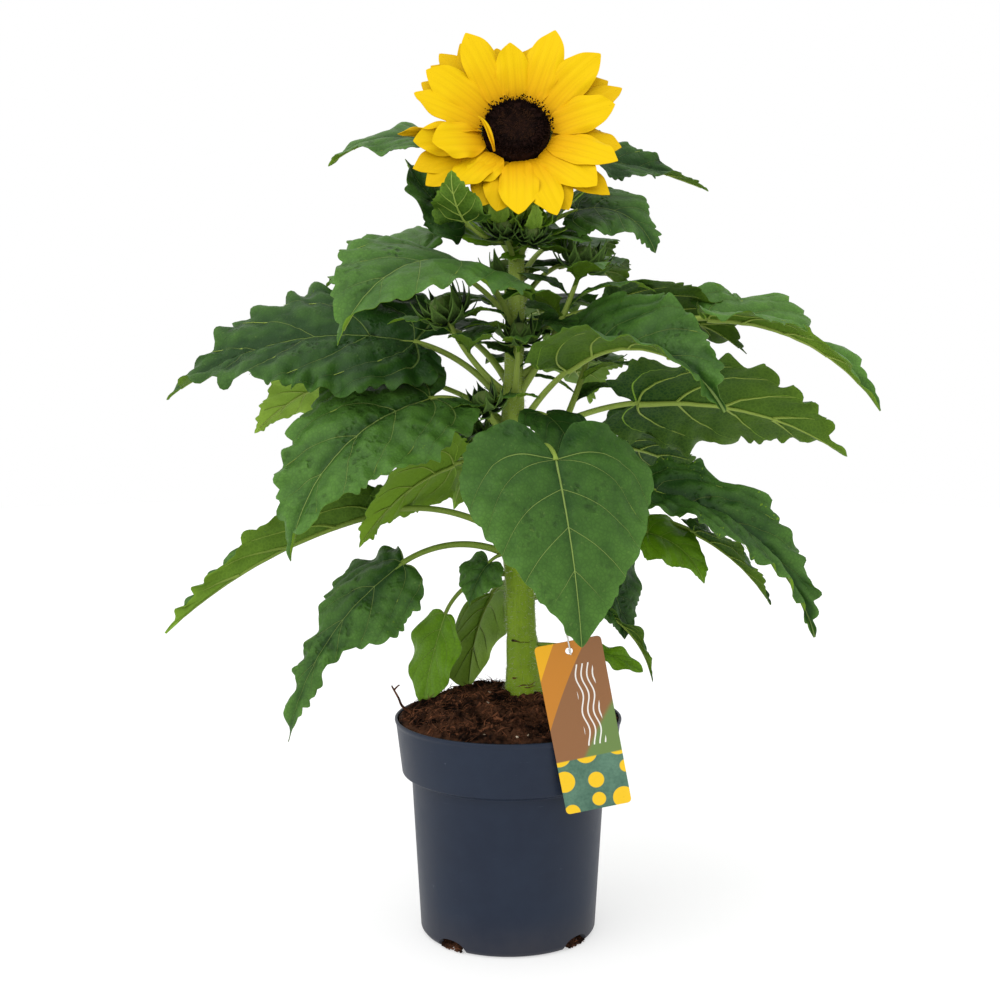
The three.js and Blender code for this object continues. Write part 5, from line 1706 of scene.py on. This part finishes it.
def make_bud(name, station, radius, number, finish, node):
    """A closed bud at a stalk's end: a plain heart in rings of pointed bracts, joined into one piece."""
    shape = Shape()
    heart = [(0, -0.95), (0.45, -0.9), (0.8, -0.4), (0.82, 0.1), (0.6, 0.5), (0.3, 0.62), (0, 0.64)]
    profile = [(r * radius, h * radius) for r, h in spline(heart, np.linspace(0, 1, 14))]
    profile[0] = (0, profile[0][1])
    profile[-1] = (0, profile[-1][1])
    core = turned(profile, 14)
    shape.add(np.concatenate(core.points), core.faces)
    meshes = [shape.mesh(name + "_heart")]
    for row, (count, length, width, inner, height, first, last) in enumerate(BUD_RINGS):
        bract = bract_item(name + "_bract", length * radius, width * radius, first, last, 0.6)
        start = row * 0.4 + number
        ring = grow_ring(
            name + "_ring", bract, count, start, inner * radius, height * radius, 0.12, row + number, finish
        )
        meshes.append(ring.data)
        bpy.data.objects.remove(ring)
    whole = joined(name, meshes)
    place, along, side, up = station
    place_mesh(whole, place, side, up, along)
    hand_over(piece(name, whole, finish), "shoot", node)


def joined(name, meshes):
    """One mesh from several, each point with its own attributes."""
    work = bmesh.new()
    for mesh in meshes:
        work.from_mesh(mesh)
    whole = bpy.data.meshes.new(name)
    work.to_mesh(whole)
    work.free()
    whole.materials.clear()
    whole.polygons.foreach_set("material_index", [0] * len(whole.polygons))
    return whole


def place_mesh(mesh, origin, right, back, facing):
    """Moves a mesh made on its own axis to its place on the plant. The origin is in millimetres."""
    turn = np.stack([right, back, facing])
    mesh.vertices.foreach_set("co", (places_of(mesh) @ turn + np.asarray(origin) * MM).ravel())
    mesh.update()


# Flower head, in its own frame: +Z is the way it faces

FACING_ANGLE = math.radians(90 - FLOWER_TILT)
FACING = np.array([0, -math.sin(FACING_ANGLE), math.cos(FACING_ANGLE)])
FLOWER_RIGHT = np.array([1.0, 0, 0])
FLOWER_BACK = np.cross(FACING, FLOWER_RIGHT)
FLOWER_CENTRE = neck_line(1.0) + FACING * (CALYX_DEPTH + GAP)


def set_on_flower(mesh):
    """Moves a mesh from the flower's own frame to the plant's."""
    place_mesh(mesh, FLOWER_CENTRE, FLOWER_RIGHT, FLOWER_BACK, FACING)


# Each ray petal: heading in degrees, reach from the flower's middle, width, its first and last
# elevation, its roll, and the height that it starts at. The back layer starts lower and gets painted shade.
RAYS = [
    (117, 79, 23, 30, 2, 0, 0),
    (131, 81, 22, 22, -4, 6, -3.4),
    (103, 70, 21, 18, -6, 3, -3.8),
    (138, 80, 21, 18, -6, -4, -3.9),
    (80, 70, 21, 18, -4, -3, -3.8),
    (122, 78, 20, 24, 0, -8, -3.4),
    (145, 76, 24, 28, 0, -6, -1),
    (151, 77, 21, 18, -6, 0, -3.4),
    (163, 75, 23, 26, 2, 10, -1),
    (184, 82, 12, 12, -2, 66, 2.5),
    (193, 73, 22, 24, 0, -14, -1),
    (199, 62, 26, 32, 14, -4, 1),
    (215, 77, 23, 16, -6, 4, -3.4),
    (236, 54, 21, 16, 2, 4, 0.5),
    (228, 66, 22, 26, -4, 10, -2),
    (258, 68, 23, 20, -8, -6, -3),
    (272, 73, 24, 24, -2, 4, -1),
    (289, 77, 23, 22, -6, -6, -1.4),
    (300, 73, 21, 16, -10, 8, -3.4),
    (318, 74, 24, 24, -4, 6, -1),
    (319, 82, 20, 14, -6, -4, -3.6),
    (337, 76, 24, 24, 0, -8, -1),
    (11, 70, 23, 26, 4, 8, -1),
    (22, 80, 21, 18, 0, -4, -3.4),
    (44, 80, 24, 28, 2, 6, -1),
    (68, 78, 24, 30, 4, -6, -1),
    (32, 76, 22, 16, -4, 3, -3.9),
    (350, 74, 22, 16, -6, -5, -3.8),
    (247, 66, 24, 18, -8, 3, -3.6),
    (205, 78, 22, 16, -6, 2, -3.9),
    (53, 71, 20, 18, 2, 2, -3.4),
    (93, 64, 21, 34, 8, 4, -0.5),
    (103, 67, 20, 20, 2, -4, -3.4),
]
RAY_RING_RADIUS = 26.4
RAY_ROOT_RADIUS = RAY_RING_RADIUS * 0.93
BACK_LAYER_HEIGHT = -2.5
RAY_LOOK = dict(tooth=NO_TEETH, thick=0.45, outline=RAY_OUTLINE)


def make_petal(name, petal, root, look, finish, sharp=None):
    """One petal, made in the flower's own frame and then set in its place."""
    shape = Shape()
    small_blade(shape, petal, root, look)
    mesh = tidy_mesh(shape.mesh(name))
    set_on_flower(mesh)
    hand_over(piece(name, mesh, finish, sharp=sharp), "petal", "flower_rays")


def make_rays(finish):
    """The ray petals in two layers, and a narrow loose one that stands up before the disc."""
    for number, (heading, reach, width, level, droop, roll, height) in enumerate(RAYS):
        h = math.radians(heading)
        root = np.array([RAY_ROOT_RADIUS * math.cos(h), RAY_ROOT_RADIUS * math.sin(h), height])
        mean = math.radians((level + droop) / 2)
        length = (reach - RAY_RING_RADIUS) / max(math.cos(mean), 0.6) * 1.03
        ray = small_leaf(
            heading, level, droop, length * 1.03, width * 1.2, cup=24, fold=10, ruffle=0.9, tilt=roll * 0.6,
            twist=roll, curl=5 * math.sin(number * 2.3),
        )
        # Petals of the back layer get tone 0.55: painted shade.
        look = look_of(
            **RAY_LOOK, seed=31 + number, fewest_teeth=6, frill=0.7, frill_length=24, sway=1.0, cell=1.5,
            groove=0.34, tone=0.0 if height > BACK_LAYER_HEIGHT else 0.55,
        )
        make_petal(f"petal_{number + 1:02d}", ray, root, look, finish, sharp=60)
    loose = small_leaf(106, 14, -4, 30, 8, fold=72, cup=20, ruffle=0, tilt=20, curl=12)
    look = look_of(**RAY_LOOK, seed=77, frill=0.4, sway=0.6, tone=0.1, cell=1.0, groove=0.2)
    make_petal("petal_loose", loose, np.array([-16.0, -22.0, 7.5]), look, finish)


def make_disc(base_finish, inner_finish, fringe_finish):
    """The dark disc, and its florets in rings that overlap from the middle out."""
    profile = [(0, -5), (23.4, -5), (24, -3), (23.8, 3), (21.8, 6.4), (17.5, 8.2), (11, 7.6), (0, 6.4)]
    body = turned(rounded(profile, 2.0), 64)
    points = np.concatenate(body.points)
    points += 0.35 * rough(points, 2.6, 3)[:, None] * (0, 0, 1)
    shape = Shape()
    shape.add(points, body.faces)
    mesh = shape.mesh("disc_base")
    set_on_flower(mesh)
    hand_over(piece("disc_base", mesh, base_finish), "disc", "flower_disc")
    # The item and how many, then the inner and outer radius, height, lean and size of the ring
    rings = [
        ("disc_florets_inner", crumb_item("floret", 0.85, 4), 420, (0.0, 14.5), (6.6, 8.0), (0.0, 0.3),
         (0.7, 1.05), 0.12, inner_finish),
        ("disc_florets_middle", needle_item("open_floret", 2.6, 0.62, 0.25, 5, 4), 420, (13.5, 20.5),
         (7.4, 7.2), (0.05, 0.5), (0.7, 1.1), 0.28, fringe_finish),
        ("disc_fringe", needle_item("anther", 2.4, 0.7, 0.4, 5, 4), 400, (18.5, 22.6), (6.8, 5.2), (0.1, 0.4),
         (0.85, 1.0), 0.3, fringe_finish),
        ("disc_anthers", crumb_item("anther_tip", 0.55, 9), 260, (22.0, 26.4), (8.0, 7.0), (0.0, 0.4),
         (0.8, 1.1), 0.6, fringe_finish),
    ]
    for number, (name, thing, count, radius, height, lean, size, uneven, look) in enumerate(rings):
        grown = grow(name, WHORL, {
            "Item": thing, "Count": count, "Step": math.radians(GOLDEN_ANGLE), "Inner": radius[0] * MM,
            "Outer": radius[1] * MM, "Inner Height": height[0] * MM, "Outer Height": height[1] * MM,
            "Inner Lean": lean[0], "Outer Lean": lean[1], "Inner Size": size[0], "Outer Size": size[1],
            "Uneven": uneven, "Seed": 20 + number, "Finish": look,
        })
        set_on_flower(grown.data)
        hand_over(grown, "disc", "flower_disc")


# Rings of the calyx: count, start, radius, height, first and last elevation, length and width
CALYX_RINGS = [
    (11, 0.0, 8, -20, -30, -24, 37, 12),
    (12, 0.3, 13, -14, -26, -6, 34, 13),
    (13, 0.1, 20, -9.5, -10, 20, 27, 12),
    (9, 0.2, 6.5, -25, -12, -96, 34, 14),
    (7, 0.5, 6.0, -29, 8, -70, 30, 13),
]


def make_calyx(finish):
    """The green cup under the flower, and its bracts in rings from the front back to the neck."""
    cup = [(0, -26), (6.2, -26), (8.5, -23), (12, -18), (20, -13), (26.4, -9.8), (28.0, -5.6), (0, -5.4)]
    mesh = turned(rounded(cup, 2.5), 64).mesh("calyx_cup")
    set_on_flower(mesh)
    hand_over(piece("calyx_cup", mesh, finish), "calyx", "flower_calyx")
    for row, (count, start, radius, height, level, droop, length, width) in enumerate(CALYX_RINGS):
        bract = bract_item(f"calyx_bract_{row}", length, width, level, droop, 0.7)
        name = f"calyx_ring_{row + 1}"
        grown = grow_ring(name, bract, count, start, radius, height, 0.14, 40 + row, finish)
        set_on_flower(grown.data)
        hand_over(grown, "calyx", "flower_calyx")


# Small leaves and buds crowded under the flower: height, heading, first and last elevation, length,
# width and tilt of each leaf; height, heading, elevation, stalk length and radius of each bud
NECK_LEAVES = [
    (531, 268, 0, 74, 40, 18, 0),
    (528, 240, 10, 70, 46, 20, -14),
    (528, 300, 8, 66, 44, 19, 16),
    (524, 205, 14, 50, 54, 24, -30),
    (526, 335, 14, 40, 56, 26, 30),
    (519, 256, -20, 40, 34, 18, -8),
    (518, 290, -22, 30, 34, 18, 12),
    (516, 222, -6, 44, 44, 20, -24),
    (516, 318, -4, 24, 44, 20, 24),
    (513, 186, 6, 34, 50, 24, -30),
    (514, 2, 8, 20, 52, 24, 30),
    (511, 262, -40, 0, 28, 16, 0),
]
NECK_BUDS = [(500, 256, 18, 48, 7.6), (503, 284, 10, 44, 7.0), (508, 222, 30, 34, 6.0)]


NECK_LOOK = dict(
    tooth=6.0, lobing=0.5, puff=0.5, frill=0.8, sway=1.2, cell=2.0, outline=SMALL_OUTLINE,
)
NECK_SKIN = 4.5
BUD_STALK_RADIUS = 1.9
BUD_LEAVES = 5


def make_neck(leaf_green, stalk_green, bud_green):
    """The small leaves on the neck, and stalked buds that each stand in a ring of narrow leaves."""
    shape = Shape()
    for number, (height, heading, level, droop, length, width, tilt) in enumerate(NECK_LEAVES):
        h = math.radians(heading)
        root = stem_point_at(height) + NECK_SKIN * np.array([math.cos(h), math.sin(h), 0])
        # Tones past 1 paint these small leaves lighter against the shade under the flower: painted light.
        look = look_of(
            **NECK_LOOK, seed=200 + number, depth=1.2, tone=1.1 + 0.3 * (number % 3),
            tone_under=1.2 + 0.3 * (number % 2), margin=0.6,
        )
        leaf = small_leaf(heading, level, droop, length, width, tilt=tilt, ruffle=0.6)
        small_blade(shape, leaf, root, look)
    for number, (height, heading, level, length, radius) in enumerate(NECK_BUDS):
        line = dict(LEAF_DEFAULTS, heading=heading, petiole=length, rise=level, level=level + 30)
        stalk = stalk_to(line, height)
        stations = between(stalk, np.linspace(0, 1, 12))
        tube_on(shape, stations, np.full(len(stations), BUD_STALK_RADIUS), ROUND_SECTION)
        for i in range(BUD_LEAVES):
            turn = heading + 360 / BUD_LEAVES * i
            leaf = small_leaf(turn, 20, 84, 4.4 * radius, 2.0 * radius, ruffle=0.6, tilt=14 - 7 * i)
            look = look_of(
                **NECK_LOOK, seed=300 + 7 * number + i, depth=1.1, tone=0.4 + 0.2 * (i % 3), tone_under=0.6,
                margin=0.8,
            )
            small_blade(shape, leaf, between(stalk, np.array(0.93))[0], look)
        end = between(stalk, np.array(1.0))
        make_bud(f"neck_bud_{number + 1}", end, radius, 30 + number, bud_green, "flower_calyx")
    mesh = tidy_mesh(shape.mesh("neck_leaves"))
    hand_over(piece("neck_leaves", mesh, leaf_green, stalk_green, sharp=LEAF_CREASE), "calyx", "flower_calyx")


# Label and its tie

LABEL = dict(width=47, height=126, thick=0.8, corner=3, hole=2.6, hole_drop=7)
LABEL_HALF = LABEL["width"] / 2
LABEL_BOTTOM = LABEL["hole_drop"] - LABEL["height"]
LABEL_LEAN = 11
LABEL_SET_BACK = 6.3
LABEL_HOLE_AT = np.array([41.8, -86.9, 230.2])
# The tie goes over the stalk at this share of its length, half wide at each side and top above it
TIE = dict(radius=0.6, share=0.64, half=5.4, top=3.2, through=3, slack=1, steps=120)


def label_place(points):
    """Stands the flat card up, leans it back on the pot's rim and tips it sideways."""
    x, y, z = points[..., 0], points[..., 1], points[..., 2]
    x, y, z = x, -z, y
    back, lean = math.radians(LABEL_SET_BACK), math.radians(-LABEL_LEAN)
    y, z = y * math.cos(back) - z * math.sin(back), y * math.sin(back) + z * math.cos(back)
    x, z = x * math.cos(lean) + z * math.sin(lean), -x * math.sin(lean) + z * math.cos(lean)
    return np.stack([x, y, z], -1) + LABEL_HOLE_AT


def label_edge(angle):
    """The place on the card's outline, with rounded corners, that is this way from the hole, found by
    reaching out from the hole and halving the step."""
    corner = LABEL["corner"]
    direction = np.array([math.cos(angle), math.sin(angle)])
    low, high = 0.0, 400.0
    for _ in range(40):
        reach = (low + high) / 2
        x, y = direction * reach
        over_x = abs(x) - (LABEL_HALF - corner)
        over_y = max(y - (LABEL["hole_drop"] - corner), (LABEL_BOTTOM + corner) - y)
        if over_x > 0 and over_y > 0:
            inside = math.hypot(over_x, over_y) < corner
        else:
            inside = over_x < corner and over_y < corner
        low, high = (reach, high) if inside else (low, reach)
    return direction * low


def make_label(finish):
    """The card as rings of points from its hole out to its edge, on both sides, slightly bowed."""
    half, corner = LABEL_HALF, LABEL["corner"]
    top, bottom = LABEL["hole_drop"], LABEL_BOTTOM
    turns = list(turns_of(72))
    for x, y in ((half, top), (-half, top), (-half, bottom), (half, bottom)):
        for step in np.linspace(0, 1, 7):
            cx, cy = x - math.copysign(corner, x), y - math.copysign(corner, y)
            round_x = cx + math.copysign(corner, x) * math.cos(step * math.pi / 2)
            round_y = cy + math.copysign(corner, y) * math.sin(step * math.pi / 2)
            turns.append(math.atan2(round_y, round_x) % (2 * math.pi))
    turns = np.unique(np.round(turns, 5))
    outer = np.array([label_edge(turn) for turn in turns])
    inner = np.stack([np.cos(turns), np.sin(turns)], -1) * LABEL["hole"]
    rings = [mix(inner, outer, k) for k in (0, 0.04, 0.12, 0.3, 0.5, 0.7, 0.85, 0.96, 1)]
    flat = np.concatenate([*rings, *reversed(rings)])
    rows, sides = 2 * len(rings), len(turns)
    bend = 1.1 * np.sin(flat[:, 1] / 46.0) * (flat[:, 0] / half)
    lift = np.repeat([1, -1], len(flat) // 2) * LABEL["thick"] / 2 + bend
    faces = grid_faces(rows, sides, around=True)
    # The wall of the hole joins the first ring to the last
    for face in grid_faces(2, sides, around=True):
        faces.append(tuple(i if i < sides else i + (rows - 2) * sides for i in reversed(face)))
    shape = Shape()
    card = np.stack([(flat[:, 0] + half) / (2 * half), (flat[:, 1] - bottom) / LABEL["height"], 0 * lift], -1)
    places = label_place(np.stack([flat[:, 0], flat[:, 1], lift], -1))
    shape.add(places, faces, 0, card)
    hand_over(piece("label_card", shape.mesh("label_card"), finish, sharp=40), "label", "label")


def make_tie(finish):
    """A twisted loop through the label's hole and over the stalk of the large front leaf."""
    front = next(leaf for leaf in LEAVES if leaf["name"] == "leaf_front")
    stalk, _ = leaf_path(front, stem_point_at(front["at"]))
    over = between(stalk, np.array(TIE["share"]))[0]
    low = LABEL_HOLE_AT + (0, 0, LABEL["hole"] - TIE["radius"] - TIE["slack"])
    middle = mix(low, over, 0.5)
    half = TIE["half"]
    loop = [
        low, low + (0, -TIE["through"], TIE["through"]), middle - (half / 2, 0, 0), over - (half, 0, 0),
        over + (0, 0, TIE["top"]), over + (half, 0, 0), middle + (half / 2, 0, 0),
        low + (0, TIE["through"], TIE["through"]),
    ]
    count = len(loop)
    steps = TIE["steps"]
    wrapped = [loop[-1], *loop, loop[0], loop[1]]
    share = (1 + np.arange(steps) / steps * count) / (count + 2)
    line = spline(wrapped, share)
    along = unit(np.roll(line, -1, axis=0) - np.roll(line, 1, axis=0))
    across = np.array([1.0, 1, 0]) / math.sqrt(2)
    side = unit(across - along * (along @ across)[:, None])
    turns = turns_of(8)
    twist = np.arange(steps)[:, None] * 0.5 + turns[None]
    radius = 0.52 * (1 + 0.16 * np.cos(2 * twist))
    body = line[:, None] + section_ring(side, np.cross(along, side), turns) * radius[..., None]
    body = np.concatenate([body, body[:1]])
    shape = Shape()
    shape.add(body, grid_faces(len(body), len(turns), around=True))
    mesh = tidy_mesh(shape.mesh("tie_loop"))
    hand_over(piece("tie_loop", mesh, finish), "tie", "label_tie")


# The whole plant

def make_plant():
    leaf = leaf_finish(
        "leaf_green", (0.012, 0.048, 0.005), (0.094, 0.222, 0.030), (0.150, 0.272, 0.014),
        (0.30, 0.42, 0.10), 0.42,
    )
    young = leaf_finish(
        "leaf_young", (0.040, 0.115, 0.002), (0.120, 0.260, 0.006), (0.260, 0.420, 0.045),
        (0.36, 0.50, 0.10), 0.42, 0.2,
    )
    stalk = stalk_finish("stalk_green", (0.22, 0.31, 0.045), (0.10, 0.17, 0.018), 0.25)
    stem = stalk_finish("stem_green", (0.24, 0.36, 0.012), (0.110, 0.200, 0.008), 0.5)
    hair = crumb_finish("stem_hair", (0.5, 0.55, 0.4), (0.75, 0.78, 0.66), 500, 0.6)
    # The calyx's greens: its own colour, made lighter as painted light against the shade under the flower
    # head.
    calyx = leaf_finish(
        "calyx_green", (0.055, 0.125, 0.014), (0.290, 0.440, 0.080), (0.29, 0.44, 0.08),
        (0.30, 0.42, 0.12), 0.5, 0.6,
    )
    petal = petal_finish("petal_yellow", (0.74, 0.490, 0.001), (0.67, 0.305, 0.002), (0.54, 0.29, 0.001))
    disc = crumb_finish("disc_dark", (0.004, 0.0015, 0.001), (0.016, 0.006, 0.004), 500)
    floret = crumb_finish("disc_florets", (0.004, 0.0012, 0.0008), (0.026, 0.010, 0.004), 420, 0.8)
    fringe = crumb_finish("disc_anthers", (0.003, 0.001, 0.0008), (0.014, 0.005, 0.003), 420, 0.8)
    peat = crumb_finish("soil_peat", (0.004, 0.0018, 0.0012), (0.064, 0.027, 0.014), 260)
    fibre = crumb_finish("soil_fibre", (0.014, 0.005, 0.003), (0.180, 0.070, 0.034), 130)
    fleck = crumb_finish("soil_fleck", (0.20, 0.14, 0.09), (0.55, 0.46, 0.36), 200)
    string = crumb_finish("tie_string", (0.55, 0.54, 0.50), (0.85, 0.84, 0.80), 900, 0.7)
    bud = leaf_finish(
        "bud_green", (0.008, 0.022, 0.005), (0.130, 0.240, 0.045), (0.12, 0.22, 0.04),
        (0.24, 0.34, 0.09), 0.55, 0.6,
    )
    finishes = dict(grown=leaf, young=young, stalk=stalk, bud=bud)

    make_pot(pot_finish())
    make_soil(peat, fibre, fleck)
    make_twig(fibre)
    make_foot_crumbs(peat, fibre)
    make_stem(stem, hair, fibre)
    for number, shoot in enumerate(SHOOTS):
        make_shoot(shoot, number, finishes)
    for number, each in enumerate(LEAVES):
        make_leaf(each, number, finishes)
    make_rays(petal)
    make_disc(disc, floret, fringe)
    make_calyx(calyx)
    make_neck(young, stalk, bud)
    make_label(label_finish())
    make_tie(string)


def drop_items():
    """Removes what the node trees used, which isn't part of the plant."""
    for obj in list(bpy.data.objects):
        if obj.type == "MESH" and not obj.users_collection:
            bpy.data.objects.remove(obj)


make_camera()
make_stage()
make_plant()
drop_items()
